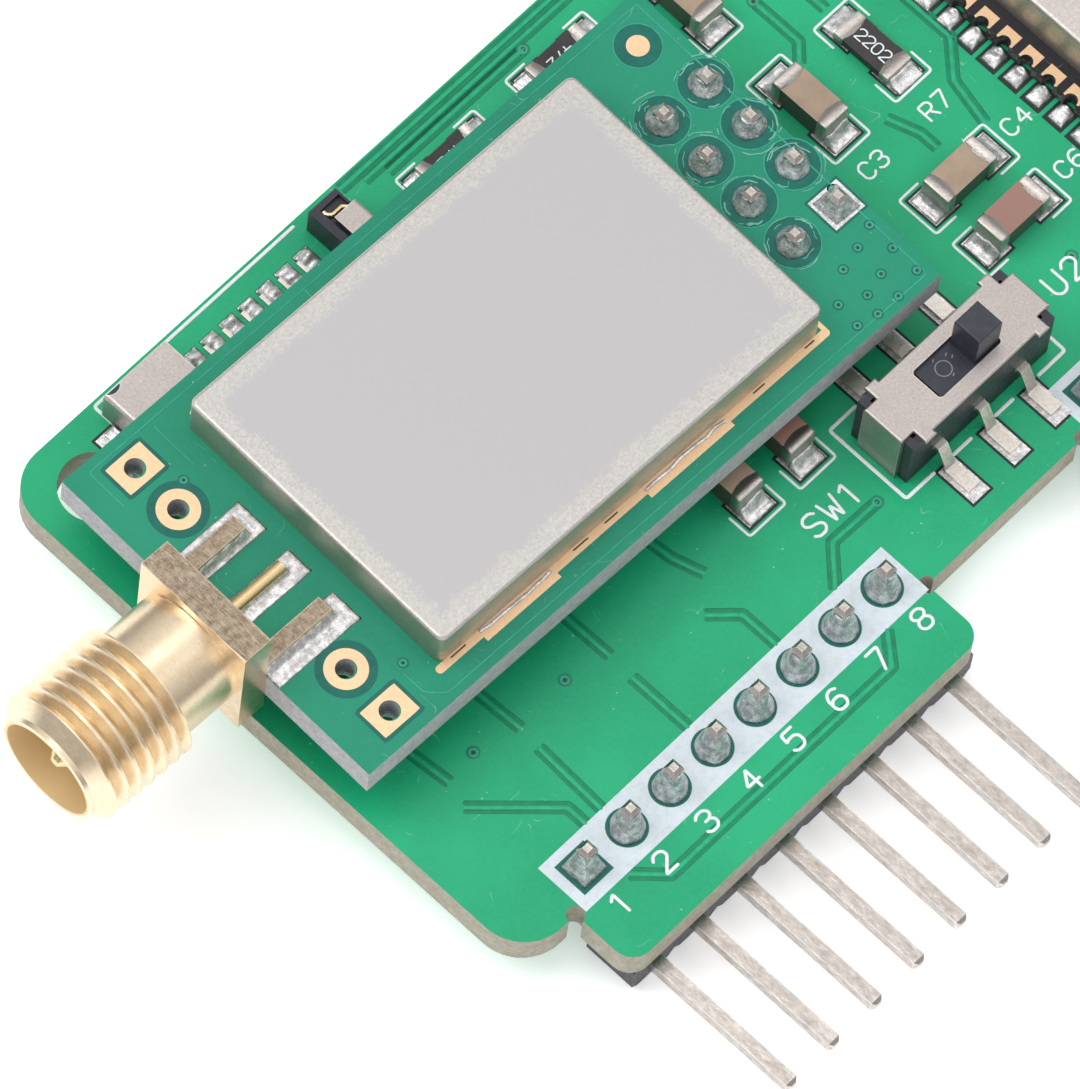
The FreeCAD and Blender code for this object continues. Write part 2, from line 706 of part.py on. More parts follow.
def make_radio_board():
    body = new_body()
    pad(body, rectangle(new_sketch(body), RADIO_LEFT, RADIO_FRONT, d.radio_length, d.radio_width),
        d.radio_thick)
    pins = new_sketch(body)
    for column in range(2):
        for row in range(RADIO_ROWS):
            circle(pins, -column * d.pitch, -row * d.pitch, d.pin_hole)
    pocket(body, pins)
    spare = new_sketch(body)
    for x, y in spare_hole_centres():
        circle(spare, x, y, d.spare_hole)
    pocket(body, spare)
    as_node(body, "radio_board", RADIO)


def make_can(label, frame, length, width, height):
    """A drawn shield can, open below, its corner at the frame's origin."""
    body = new_body()
    pad(body, rectangle(new_sketch(body), 0, 0, length, width), height)
    dress(body, "Fillet", d.can_corner, is_vertical)
    dress(body, "Fillet", d.can_edge, at_height(height))
    inside = new_sketch(body)
    rectangle(inside, d.can_wall, d.can_wall, length - 2 * d.can_wall, width - 2 * d.can_wall)
    pocket(body, inside, height - d.can_wall, reverse=True)
    as_node(body, label, frame)


# Parts under the cans: name, lowest corner from the can's corner, then length, width and height.
RADIO_CHIPS = [
    ("radio_chip", 13.4, 5.3, 4.0, 4.0, 0.85),
    ("radio_amplifier", 5.2, 5.9, 3.0, 3.0, 0.75),
    ("radio_crystal", 14.2, 10.6, 3.2, 2.5, 0.7),
]
WIFI_CHIPS = [
    ("wifi_chip", 7.6, 4.2, 5.0, 5.0, 0.9),
    ("wifi_flash", 1.6, 5.0, 4.0, 3.0, 0.6),
    ("wifi_crystal", 9.0, 11.4, 2.5, 2.0, 0.6),
]
PASSIVE_SIZE = (1.0, 0.5, 0.5)
PASSIVE_COLUMNS = (2.2, 9.0, 10.6, 18.6)
PASSIVE_ROWS = (3.4, 6.2, 9.0)


def make_radio_parts():
    can = RADIO_TOP.at(CAN_LEFT, RADIO_AXIS_Y - d.can_width / 2)
    make_can("radio_can", can, d.can_length, d.can_width, d.can_height)
    for label, *numbers in RADIO_CHIPS:
        x, y, length, width, height = map(as_size, numbers)
        block(label, can, x, y, 0, length, width, height)
    passives = [solid_box(x, y, 0, *PASSIVE_SIZE) for x in PASSIVE_COLUMNS for y in PASSIVE_ROWS]
    solid_set("radio_passives", passives, can)


# ---------------------------------------------------------------- antenna connector


def make_antenna_connector():
    """Edge connector: local X runs along the axis into the board, the board's end is x = 0."""
    front = -d.flange_thick
    thread_start = front - d.barrel_length
    thread_end = thread_start - d.thread_turns * d.thread_pitch
    mouth = thread_end - d.mouth_length
    bevel = (d.thread_dia - d.mouth_dia) / 2

    body = new_body()
    polygon(new_sketch(body, "XY"), [
        (front, d.dielectric_dia / 2), (front, d.barrel_dia / 2),
        (thread_start, d.barrel_dia / 2), (thread_start, d.thread_dia / 2),
        (thread_end, d.thread_dia / 2), (thread_end - bevel, d.mouth_dia / 2),
        (mouth, d.mouth_dia / 2), (mouth, d.bore_dia / 2),
        (mouth + d.bore_depth, d.bore_dia / 2), (mouth + d.bore_depth, d.dielectric_dia / 2)])
    revolve(body, "X")
    tooth = new_sketch(body, "XY")
    half_pitch = d.thread_pitch / 2
    polygon(tooth, [(thread_start - d.thread_pitch, d.thread_dia / 2 + d.thread_crest),
                    (thread_start, d.thread_dia / 2 + d.thread_crest),
                    (thread_start - half_pitch, d.thread_dia / 2 - d.thread_depth)])
    before = body.Shape.Volume
    groove = body.newObject("PartDesign::Groove", "Groove")
    groove.Profile = tooth
    groove.ReferenceAxis = (own_axis(body, "X"), [""])
    groove.Angle = 360
    doc.recompute()
    if not body.Shape.Volume < before:
        raise ValueError("the thread groove cuts nothing")
    threads = repeat(body, groove, "X", d.thread_pitch, int(float(d.thread_turns)))
    threads.Reversed = True
    doc.recompute()

    plate = new_sketch(body, "YZ", front)
    centred(plate, 0, 0, d.flange_width, d.flange_height)
    circle(plate, 0, 0, d.dielectric_dia)
    pad(body, plate, d.flange_thick)
    legs = new_sketch(body, "YZ", front)
    top = -d.axis_rise
    under = top - d.radio_thick
    for side in (-1, 1):
        left = side * d.leg_spacing / 2 - d.leg_width / 2
        rectangle(legs, left, top, d.leg_width, d.leg_height)
        rectangle(legs, left, under - d.leg_height, d.leg_width, d.leg_height)
    pad(body, legs, d.flange_thick + d.leg_length)
    as_node(body, "sma_body", ANTENNA)

    contact_tip = mouth + d.contact_recess
    insulator_start = mouth + d.bore_depth
    insulator = new_body()
    ring = new_sketch(insulator, "YZ", insulator_start)
    circle(ring, 0, 0, d.dielectric_dia)
    circle(ring, 0, 0, d.contact_dia)
    pad(insulator, ring, -insulator_start)
    as_node(insulator, "sma_insulator", ANTENNA)

    contact = new_body()
    pad(contact, circle(new_sketch(contact, "YZ", contact_tip), 0, 0, d.contact_dia), -contact_tip)
    dress(contact, "Chamfer", d.contact_dia / 4,
          lambda e: all(abs(v.X - float(contact_tip)) < 1e-6 for v in e.Vertexes))
    pad(contact, circle(new_sketch(contact, "YZ"), 0, 0, d.tail_dia), d.leg_length)
    as_node(contact, "sma_center_contact", ANTENNA)

    floor = -d.axis_rise
    pads = []
    for y, width, height in ((-d.leg_spacing / 2, d.leg_solder, d.leg_height / 2),
                             (d.leg_spacing / 2, d.leg_solder, d.leg_height / 2),
                             (0, d.tail_solder, d.axis_rise)):
        reach = d.leg_length + d.solder_lead
        crest = float(width) / 4
        bank = [(y - width / 2, floor), (y + width / 2, floor), (y + width / 2, floor + d.solder_film),
                (y + crest, floor + height), (y - crest, floor + height),
                (y - width / 2, floor + d.solder_film)]
        pads.append(extruded(bank, 0, reach, "X"))
    cutters = [solid_box(0, side * d.leg_spacing / 2 - d.leg_width / 2, floor,
                         d.leg_length, d.leg_width, d.leg_height) for side in (-1, 1)]
    cutters.append(Part.makeCylinder(float(d.tail_dia) / 2, float(d.leg_length), Vector(0, 0, 0), Vector(1, 0, 0)))
    solid_set("sma_solder", [one.cut(cutter) for one, cutter in zip(pads, cutters)], ANTENNA)


# ---------------------------------------------------------------- microSD socket


# The sprung part of a contact: distance behind the recess, height above the socket's floor.
CONTACT_BOW = [(-0.4, 0), (3.0, 0), (5.2, 0.55), (5.8, 0.35)]


def make_socket():
    """Push-push socket: local origin at its front left corner on the board, -Y is the card's way in."""
    width = d.socket_width
    depth = d.socket_depth
    height = d.socket_height
    wall = d.shell_wall
    rail_left = width - wall - d.rail_width
    recess_back = -d.recess_depth

    shell = new_body()
    pad(shell, rectangle(new_sketch(shell), 0, -depth, width, depth), height)
    dress(shell, "Fillet", wall, lambda e: at_height(height)(e) and abs(e.Vertexes[0].X - e.Vertexes[-1].X) < 1e-6)
    inside = new_sketch(shell, "XZ", 0)
    rectangle(inside, wall, 0, width - 2 * wall, height - wall)
    pocket(shell, inside, depth - wall, reverse=True)
    recess = new_sketch(shell, "XY", height)
    rectangle(recess, d.arm_width, recess_back, rail_left - d.arm_width + d.rail_shell_side, d.recess_depth)
    pocket(shell, recess, 2 * wall)
    front_cut = new_sketch(shell, "XY", height)
    rectangle(front_cut, rail_left, -d.rail_shell_inset, d.rail_width + 2 * wall, d.rail_shell_inset)
    pocket(shell, front_cut, height)
    notch = new_sketch(shell, "XY", height)
    circle(notch, d.corner_notch, d.corner_notch / 2, 2 * d.corner_notch)
    pocket(shell, notch, height / 3)
    as_node(shell, "sd_shell", SOCKET)

    base = new_body()
    inner_left = wall
    inner_width = width - 2 * wall
    floor_sketch = new_sketch(base)
    rectangle(floor_sketch, inner_left, wall - depth, inner_width, depth - wall - d.recess_depth)
    pad(base, floor_sketch, d.floor_thick)
    left_rail = new_sketch(base)
    rectangle(left_rail, inner_left, wall - depth, d.left_rail_width, depth - wall)
    pad(base, left_rail, height - wall)
    right_rail = new_sketch(base)
    rectangle(right_rail, rail_left, wall - depth, d.rail_width, depth - wall)
    pad(base, right_rail, height - wall)
    channel = new_sketch(base, "XY", height - wall)
    channel_left = rail_left + (d.rail_width - d.slider_width) / 2 - d.slide_gap
    channel_width = d.slider_width + 2 * d.slide_gap
    channel_back = -depth + wall + d.channel_end
    channel_front = -d.rod_reach - d.rod_gap
    rectangle(channel, channel_left, channel_back, channel_width, channel_front - channel_back)
    pocket(base, channel, height - wall - d.floor_thick)
    finger_slot = new_sketch(base, "XY", height - wall)
    finger_back = channel_front - d.finger_setback - d.finger_length
    slider_left = rail_left + (d.rail_width - d.slider_width) / 2
    slot_left = rail_left - 2 * d.finger_reach
    rectangle(finger_slot, slot_left, finger_back - d.slider_travel - d.finger_gap, slider_left - slot_left,
              d.finger_length + d.slider_travel + 2 * d.finger_gap)
    pocket(base, finger_slot, height - wall - d.floor_thick)
    rod_bed = new_sketch(base, "XY", height - wall)
    rod_x = width - wall - d.rod_dia
    rod_end_x = rod_x - d.rod_offset
    rod_front = -d.rod_inset
    rectangle(rod_bed, rod_end_x - d.rod_dia / 2, -d.rod_reach, rod_x - rod_end_x + d.rod_dia,
              d.rod_reach + rod_front + d.rod_dia / 2)
    pocket(base, rod_bed, d.rod_dia)
    as_node(base, "sd_base", SOCKET)

    slider = new_body()
    slider_front = channel_front - d.slide_gap
    slider_sketch = new_sketch(slider, "XY", d.floor_thick + d.slide_gap)
    rectangle(slider_sketch, slider_left, slider_front - d.slider_length, d.slider_width, d.slider_length)
    pad(slider, slider_sketch, d.slider_height)
    finger = new_sketch(slider, "XY", d.floor_thick + d.slide_gap)
    finger_left = rail_left - d.finger_reach
    rectangle(finger, finger_left, finger_back, slider_left - finger_left + d.finger_gap, d.finger_length)
    pad(slider, finger, d.slider_height)
    dress(slider, "Chamfer", d.slider_height / 8, at_height(d.floor_thick + d.slide_gap + d.slider_height))
    as_node(slider, "sd_slider", SOCKET)

    spring_back = channel_back
    spring_front = slider_front - d.slider_length - d.slide_gap
    length = float(spring_front - spring_back)
    radius = float(d.spring_dia - d.spring_wire) / 2
    helix = Part.makeHelix(length / SPRING_TURNS, length, radius)
    ring = Part.Wire(Part.makeCircle(float(d.spring_wire) / 2, Vector(radius, 0, 0), Vector(0, 1, 0)))
    coil = helix.makePipeShell([ring], True, True)
    coil.rotate(Vector(0, 0, 0), Vector(1, 0, 0), -90)
    coil.translate(Vector(float(rail_left + d.rail_width / 2), float(spring_back + d.spring_wire / 2),
                          float(d.floor_thick + d.slide_gap + d.slider_height / 2)))
    solid_set("sd_spring", [coil], SOCKET)

    rod_level = height - wall - d.rod_dia / 2
    bend = d.rod_bend
    turns_at = [(rod_end_x, rod_front), (rod_end_x, rod_front - bend), (rod_end_x + bend, rod_front - 2 * bend),
                (rod_x - bend, rod_front - 2 * bend), (rod_x, rod_front - 3 * bend), (rod_x, -d.rod_reach)]
    points = [Vector(float(x), float(y), float(rod_level)) for x, y in turns_at]
    start = Part.Wire(Part.makeCircle(float(d.rod_dia) / 2, points[0], Vector(0, 1, 0)))
    rod = Part.makePolygon(points).makePipeShell([start], True, False, 2)
    solid_set("sd_cam_rod", [rod], SOCKET)

    tails = []
    joints = []
    front = -d.tail_front
    floor = d.floor_thick
    for index in range(SOCKET_CONTACTS):
        left = width * (d.tail_first_share + index * d.tail_pitch_share) - d.tail_width / 2
        path = [(front, as_size(0)), (front - d.tail_length, as_size(0))]
        path += [(-d.recess_depth - back, floor + rise) for back, rise in CONTACT_BOW]
        tail = strip(path, d.contact_thick, left, d.tail_width, "X")
        tails.append(tail)
        margin = (d.tail_pad - d.tail_width) / 2
        bank = solid_box(left - margin, front - d.tail_length, 0, d.tail_pad, d.tail_length + margin * 2, d.solder_film)
        joints.append(bank.cut(tail))
    solid_set("sd_contacts", tails, SOCKET)
    foot_front = -d.mount_inset - d.mount_pad
    foot_back = d.mount_inset - depth
    reach = d.mount_reach
    slope = [(0, 0), (reach, 0), (reach, d.solder_film), (reach / 3, d.chip_solder_rise), (0, d.chip_solder_rise)]
    for start in (foot_front, foot_back):
        joints.append(extruded([(-as_size(a), b) for a, b in slope], start, d.mount_pad, "Y"))
        joints.append(extruded([(width + a, b) for a, b in slope], start, d.mount_pad, "Y"))
    solid_set("sd_solder", joints, SOCKET)


# ---------------------------------------------------------------- slide switch


def make_switch():
    """Local origin at the switch's centre on the board; the lever is drawn at its +X end stop."""
    height = d.switch_height
    sheet_under = height - d.cover_sheet
    inner_width = d.switch_width - 2 * d.switch_wall
    inner_length = d.switch_length - 2 * d.switch_wall
    lever_x = d.lever_travel / 2

    housing = new_body()
    pad(housing, centred(new_sketch(housing), 0, 0, d.switch_length, d.switch_width - 2 * d.cover_sheet),
        sheet_under)
    floor = d.terminal_exit + d.terminal_thick
    cavity = new_sketch(housing, "XY", sheet_under)
    centred(cavity, 0, 0, inner_length, inner_width - 2 * d.cover_sheet)
    pocket(housing, cavity, sheet_under - floor)
    outside = d.switch_width / 2 - d.cover_sheet
    for side in (-1, 1):
        seats = new_sketch(housing, "XY", d.terminal_exit)
        for index in range(SWITCH_TERMINALS):
            low_y = min(side * outside, side * (outside - d.contact_inset), key=float)
            rectangle(seats, (index - 1) * d.switch_pitch - d.terminal_width / 2, low_y,
                      d.terminal_width, d.contact_inset)
        pocket(housing, seats, d.terminal_thick, reverse=True)
    as_node(housing, "switch_housing", SWITCH)

    cover = new_body()
    plate = new_sketch(cover, "XY", sheet_under)
    centred(plate, 0, 0, d.cover_length, d.switch_width - 2 * d.ear_reach)
    pad(cover, plate, d.cover_sheet)
    tongues = new_sketch(cover, "XY", sheet_under)
    centred(tongues, 0, 0, d.switch_length + 2 * d.cover_sheet, d.tongue_width)
    pad(cover, tongues, d.cover_sheet)
    for side in (-1, 1):
        drop = new_sketch(cover, "XY", 0)
        left = side * (d.switch_length + d.cover_sheet) / 2 - d.cover_sheet / 2
        rectangle(drop, left, -d.tongue_width / 2, d.cover_sheet, d.tongue_width)
        pad(cover, drop, height)
        ears = new_sketch(cover, "XY", sheet_under)
        centred(ears, side * (d.cover_length - d.ear_length) / 2, 0, d.ear_length, d.switch_width)
        pad(cover, ears, d.cover_sheet)
    window = new_sketch(cover, "XY", height)
    centred(window, 0, 0, d.window_length, d.window_width)
    pocket(cover, window, 2 * d.cover_sheet)
    window_x = float(d.window_length) / 2 + 1e-6
    window_y = float(d.window_width) / 2 + 1e-6
    in_window = lambda e: all(abs(v.X) < window_x and abs(v.Y) < window_y for v in e.Vertexes)
    dress(cover, "Fillet", d.window_corner, lambda e: is_vertical(e) and in_window(e))
    dress(cover, "Fillet", d.cover_sheet / 2, lambda e: at_height(height)(e) and not in_window(e))
    as_node(cover, "switch_cover", SWITCH)

    lever = new_body()
    plate_low = sheet_under - d.slide_gap - d.lever_plate_thick
    base = new_sketch(lever, "XY", plate_low)
    centred(base, lever_x, 0, d.lever_plate, inner_width - 2 * d.cover_sheet - 2 * d.slide_gap)
    pad(lever, base, d.lever_plate_thick)
    stem = new_sketch(lever, "XY", plate_low)
    centred(stem, lever_x, 0, d.lever_side, d.lever_side)
    pad(lever, stem, height + d.lever_rise - plate_low)
    dress(lever, "Fillet", d.lever_side / 14,
          lambda e: at_height(height + d.lever_rise)(e))
    as_node(lever, "switch_lever", SWITCH)

    contact_half = d.switch_pitch / 2 + d.bridge_overlap
    toe = d.bridge_toe
    bridge_top = plate_low - d.bridge_thick
    bridge_low = floor + d.slide_gap
    bridges = []
    for side in (-1, 1):
        y = side * (inner_width / 2 - d.cover_sheet - d.bridge_width) - d.bridge_width / 2
        path = [(lever_x - contact_half, bridge_low + d.bridge_thick), (lever_x - contact_half + toe, bridge_low),
                (lever_x - contact_half + 2 * toe, bridge_low), (lever_x - contact_half / 2, bridge_top),
                (lever_x + contact_half / 2, bridge_top), (lever_x + contact_half - 2 * toe, bridge_low),
                (lever_x + contact_half - toe, bridge_low), (lever_x + contact_half, bridge_low + d.bridge_thick)]
        bridges.append(strip(path, d.bridge_thick, y, d.bridge_width, "Y"))
    solid_set("switch_bridges", bridges, SWITCH)

    foot_end = outside + d.terminal_reach
    foot_start = foot_end - d.terminal_foot
    terminals = []
    for index in range(SWITCH_TERMINALS):
        x = (index - 1) * d.switch_pitch
        inner = [(outside - d.contact_inset, d.terminal_exit), (outside, d.terminal_exit)]
        slope = [(outside, d.terminal_exit), (outside + d.terminal_thick, d.terminal_exit),
                 (foot_start, as_size(0)), (foot_start + d.terminal_thick, as_size(0))]
        foot = [(foot_start, as_size(0)), (foot_end, as_size(0))]
        leg = strip(slope, d.terminal_thick, x - d.terminal_neck / 2, d.terminal_neck, "X")
        for path in (inner, foot):
            leg = leg.fuse(strip(path, d.terminal_thick, x - d.terminal_width / 2, d.terminal_width, "X"))
        leg = leg.removeSplitter()
        terminals.append(leg)
        terminals.append(leg.mirror(Vector(0, 0, 0), Vector(0, 1, 0)))
    solid_set("switch_terminals", terminals, SWITCH)


# ---------------------------------------------------------------- Wi-Fi module


def wifi_half_holes():
    """Centres of the half holes on the module's edges, with the outward direction of each."""
    spots = []
    end_count = int(float(d.wifi_end_pads))
    for index in range(end_count):
        spots.append((as_size(0), (index - (end_count - 1) / 2) * d.wifi_pitch, (-1, 0)))
    for index in range(int(float(d.wifi_side_pads))):
        x = d.wifi_side_first + index * d.wifi_pitch
        for side in (-1, 1):
            spots.append((x, side * d.wifi_width / 2, (0, side)))
    return spots


def make_wifi_module():
    """Local origin at the middle of the module's left edge, on the main board."""
    body = new_body()
    pad(body, rectangle(new_sketch(body), 0, -d.wifi_width / 2, d.wifi_length, d.wifi_width), d.wifi_thick)
    holes = new_sketch(body)
    for x, y, _ in wifi_half_holes():
        circle(holes, x, y, d.half_hole)
    pocket(body, holes)
    as_node(body, "wifi_board", WIFI)

    module_top = WIFI.at(0, 0, d.wifi_thick)
    can = module_top.at(d.wifi_can_inset, -d.wifi_can_width / 2)
    make_can("wifi_can", can, d.wifi_can_length, d.wifi_can_width, d.wifi_can_height)
    for label, *numbers in WIFI_CHIPS:
        x, y, length, width, height = map(as_size, numbers)
        block(label, can, x, y, 0, length, width, height)

    solder = []
    film = d.solder_film
    for x, y, (side_x, side_y) in wifi_half_holes():
        half = d.wifi_solder_width / 2
        reach = d.wifi_solder_reach
        slope = [(0, 0), (reach, 0), (reach, film), (d.wifi_solder_cling, d.wifi_thick), (0, d.wifi_thick)]
        if side_x:
            wedge = extruded([(side_x * as_size(a), b) for a, b in slope], y - half, 2 * half, "Y")
        else:
            wedge = extruded([(y + side_y * as_size(a), b) for a, b in slope], x - half, 2 * half, "X")
        solder.append(wedge)
    solid_set("wifi_solder", solder, WIFI)


# ---------------------------------------------------------------- chip parts

# Each place: x, y of the centre on the board and the turn of the long side from X.
CAPACITOR_PLACES = [
    (33.55, -8.65, 90),
    (33.40, -1.60, 90),
    (35.50, -15.35, 0),
    (35.75, -18.15, 0),
    (18.55, -17.85, 90),
    (21.65, -17.85, 90),
]
RESISTOR_PLACES = [
    (37.45, -8.65, 90),
    (21.20, 0.05, 0),
    (27.80, 0.05, 0),
]


def chip_pieces(height):
    """Body, two end caps and two solder banks of a chip part centred on the origin, long side on X."""
    length = d.chip_length
    width = d.chip_width
    skin = d.cap_skin
    body = solid_box(-length / 2 + d.cap_end, -width / 2 + skin, skin,
                     length - 2 * d.cap_end, width - 2 * skin, height - 2 * skin)
    caps = []
    banks = []
    for side in (-1, 1):
        outer = side * length / 2
        inner = outer - side * d.cap_end
        low = min(float(outer), float(inner))
        caps.append(solid_box(low, -width / 2, 0, d.cap_end, width, height))
        reach = side * d.chip_solder_reach
        slope = [(outer, 0), (outer + reach, 0), (outer + reach, d.solder_film / 2),
                 (outer, d.chip_solder_rise)]
        banks.append(extruded(slope, -width / 2, width, "Y"))
    return body, caps, banks


def make_chips():
    all_banks = []
    for kind, places, height in (("capacitor", CAPACITOR_PLACES, d.capacitor_height),
                                 ("resistor", RESISTOR_PLACES, d.resistor_height)):
        bodies = []
        all_caps = []
        for x, y, turn in places:
            frame = TOP.at(x, y, 0, turn)
            body, caps, banks = chip_pieces(height)
            bodies.append(moved(body, frame))
            all_caps += [moved(cap, frame) for cap in caps]
            all_banks += [moved(bank, frame) for bank in banks]
        solid_set(kind + "_bodies", bodies)
        solid_set(kind + "_end_caps", all_caps)
    solid_set("chip_solder", all_banks)


# ---------------------------------------------------------------- push buttons


# A spring dome's curve: share of the way to its rim, share of its height.
DOME_PROFILE = [(0, 0), (0.3, 0.07), (0.55, 0.26), (0.8, 0.62), (1, 1)]


def make_buttons():
    """Two small push buttons; each plunger is its own sub-part because it moves."""
    names = ("boot", "reset")
    height = d.button_height
    under = height - d.button_cover
    frames = [TOP.at(BOARD_RIGHT - d.button_first + index * d.button_pitch, BOARD_BACK - d.button_inset)
              for index in range(len(names))]

    case = new_body()
    pad(case, centred(new_sketch(case), 0, 0, d.button_length, d.button_width), under)
    well = new_sketch(case, "XY", under)
    circle(well, 0, 0, d.button_width - 2 * d.button_wall)
    pocket(case, well, under - d.button_floor)
    solid_set("button_cases", [moved(case.Shape, frame) for frame in frames])

    cover = new_body()
    lid = new_sketch(cover, "XY", under)
    centred(lid, 0, 0, d.button_length, d.button_width)
    circle(lid, 0, 0, d.plunger_dia + 2 * d.plunger_gap)
    pad(cover, lid, d.button_cover)
    solid_set("button_covers", [moved(cover.Shape, frame) for frame in frames])

    flange_top = under - d.plunger_gap
    flange_low = flange_top - d.plunger_flange_thick
    crown = flange_low - d.plunger_gap
    rise = crown - d.button_floor - d.dome_sheet
    rim = d.button_width / 2 - d.button_wall - d.plunger_gap
    upper = [(rim * share, crown - rise * drop) for share, drop in DOME_PROFILE]
    lower = [(x, z - d.dome_sheet) for x, z in reversed(upper)]
    for name, frame in zip(names, frames):
        dome = new_body()
        polygon(new_sketch(dome, "XZ"), upper + lower)
        revolve(dome, "Z")
        as_node(dome, name + "_dome", frame)

    for name, frame in zip(names, frames):
        plunger = new_body()
        pad(plunger, circle(new_sketch(plunger, "XY", flange_low), 0, 0, d.plunger_flange), d.plunger_flange_thick)
        pad(plunger, circle(new_sketch(plunger, "XY", flange_low), 0, 0, d.plunger_dia),
            height + d.plunger_rise - flange_low)
        dress(plunger, "Fillet", d.plunger_dia / 10, at_height(height + d.plunger_rise))
        as_node(plunger, name + "_plunger", frame)

    terminals = []
    side = d.button_terminal
    for frame in frames:
        for side_x in (-1, 1):
            for side_y in (-1, 1):
                x = side_x * (d.button_length + side) / 2 - side / 2
                y = side_y * d.button_width / 3 - side / 2
                terminals.append(moved(solid_box(x, y, 0, side, side, d.button_terminal_thick), frame))
    solid_set("button_terminals", terminals)


make_main_board()
make_header("header_8", PINS_FIRST, FIRST_PIN_X)
make_header("header_10", PINS_SECOND, SECOND_PIN_X)
make_radio_header()
make_radio_board()
make_radio_parts()
make_antenna_connector()
make_socket()
make_switch()
make_wifi_module()
make_chips()
make_buttons()
doc.recompute()

# ---------------------------------------------------------------- check and write

for obj in doc.Objects:
    if "Invalid" in obj.State or "Error" in obj.State:
        raise ValueError("%s (%s) failed: %s" % (obj.Name, obj.Label, obj.State))
for node in NODES:
    if node.Shape.isNull() or not node.Shape.isValid() or not node.Shape.Solids:
        raise ValueError("%s has no valid solid" % node.Label)
    node.Shape.exportStep("parts/%s.step" % node.Label)
print("%d sub-parts written" % len(NODES))
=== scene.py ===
import math
import random

import bmesh
import bpy
from mathutils import Matrix, Vector, noise


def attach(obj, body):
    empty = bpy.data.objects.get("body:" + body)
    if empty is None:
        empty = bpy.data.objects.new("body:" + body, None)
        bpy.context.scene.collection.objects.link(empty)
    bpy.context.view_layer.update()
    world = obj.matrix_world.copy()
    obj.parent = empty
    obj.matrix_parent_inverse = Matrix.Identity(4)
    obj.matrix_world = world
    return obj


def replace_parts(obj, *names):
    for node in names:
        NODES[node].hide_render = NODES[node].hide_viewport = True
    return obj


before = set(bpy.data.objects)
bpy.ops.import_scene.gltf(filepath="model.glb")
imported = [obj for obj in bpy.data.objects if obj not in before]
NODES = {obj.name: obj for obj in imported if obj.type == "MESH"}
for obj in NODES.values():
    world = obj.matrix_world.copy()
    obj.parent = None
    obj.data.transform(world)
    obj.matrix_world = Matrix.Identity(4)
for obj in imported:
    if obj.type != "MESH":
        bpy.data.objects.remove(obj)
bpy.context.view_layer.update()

MM = 0.001  # one millimetre, in metres

# ---- camera
# A long lens, 25 degrees off straight down, turned so that +X runs up and to the right.

BACK = Vector((-0.35029558, -0.2471331, 0.90344797))
RIGHT = Vector((0.68754847, -0.72286722, 0.0688482))
UP = Vector((0.63605826, 0.6452815, 0.42313318))
AIM = Vector((13.9, -13.8, 1.6))
CAMERA_DISTANCE = 558.5
SHIFT_LEFT = 1.3604
SHIFT_DOWN = 2.2905
LENS = 450.2
SENSOR = 36
eye = (AIM + BACK * CAMERA_DISTANCE - RIGHT * SHIFT_LEFT - UP * SHIFT_DOWN) * MM
camera_data = bpy.data.cameras.new("camera")
camera = bpy.data.objects.new("camera", camera_data)
bpy.context.scene.collection.objects.link(camera)
camera.matrix_world = Matrix((
    (RIGHT.x, UP.x, BACK.x, eye.x),
    (RIGHT.y, UP.y, BACK.y, eye.y),
    (RIGHT.z, UP.z, BACK.z, eye.z),
    (0, 0, 0, 1)))
camera_data.sensor_width = SENSOR
camera_data.lens = LENS
camera_data.clip_start = 0.05
camera_data.clip_end = 5
bpy.context.scene.camera = camera
bpy.context.scene.view_settings.view_transform = "Standard"

# ---- floor and light

FLOOR_Z = -2.03 * MM  # just under the header housings
FLOOR_REACH = 1.5
FLOOR_GLOW = 0.32
WORLD_STRENGTH = 0.95
LAMPS_AIM = (20, -12, 3)
# each lamp's name, place, width and power
LAMPS = (
    ("key", (-160, 180, 330), 260, 0.62),
    ("fill", (260, -120, 260), 240, 0.24),
    ("front", (-220, -260, 160), 180, 0.16),
    ("top", (20, 40, 420), 200, 0.24))


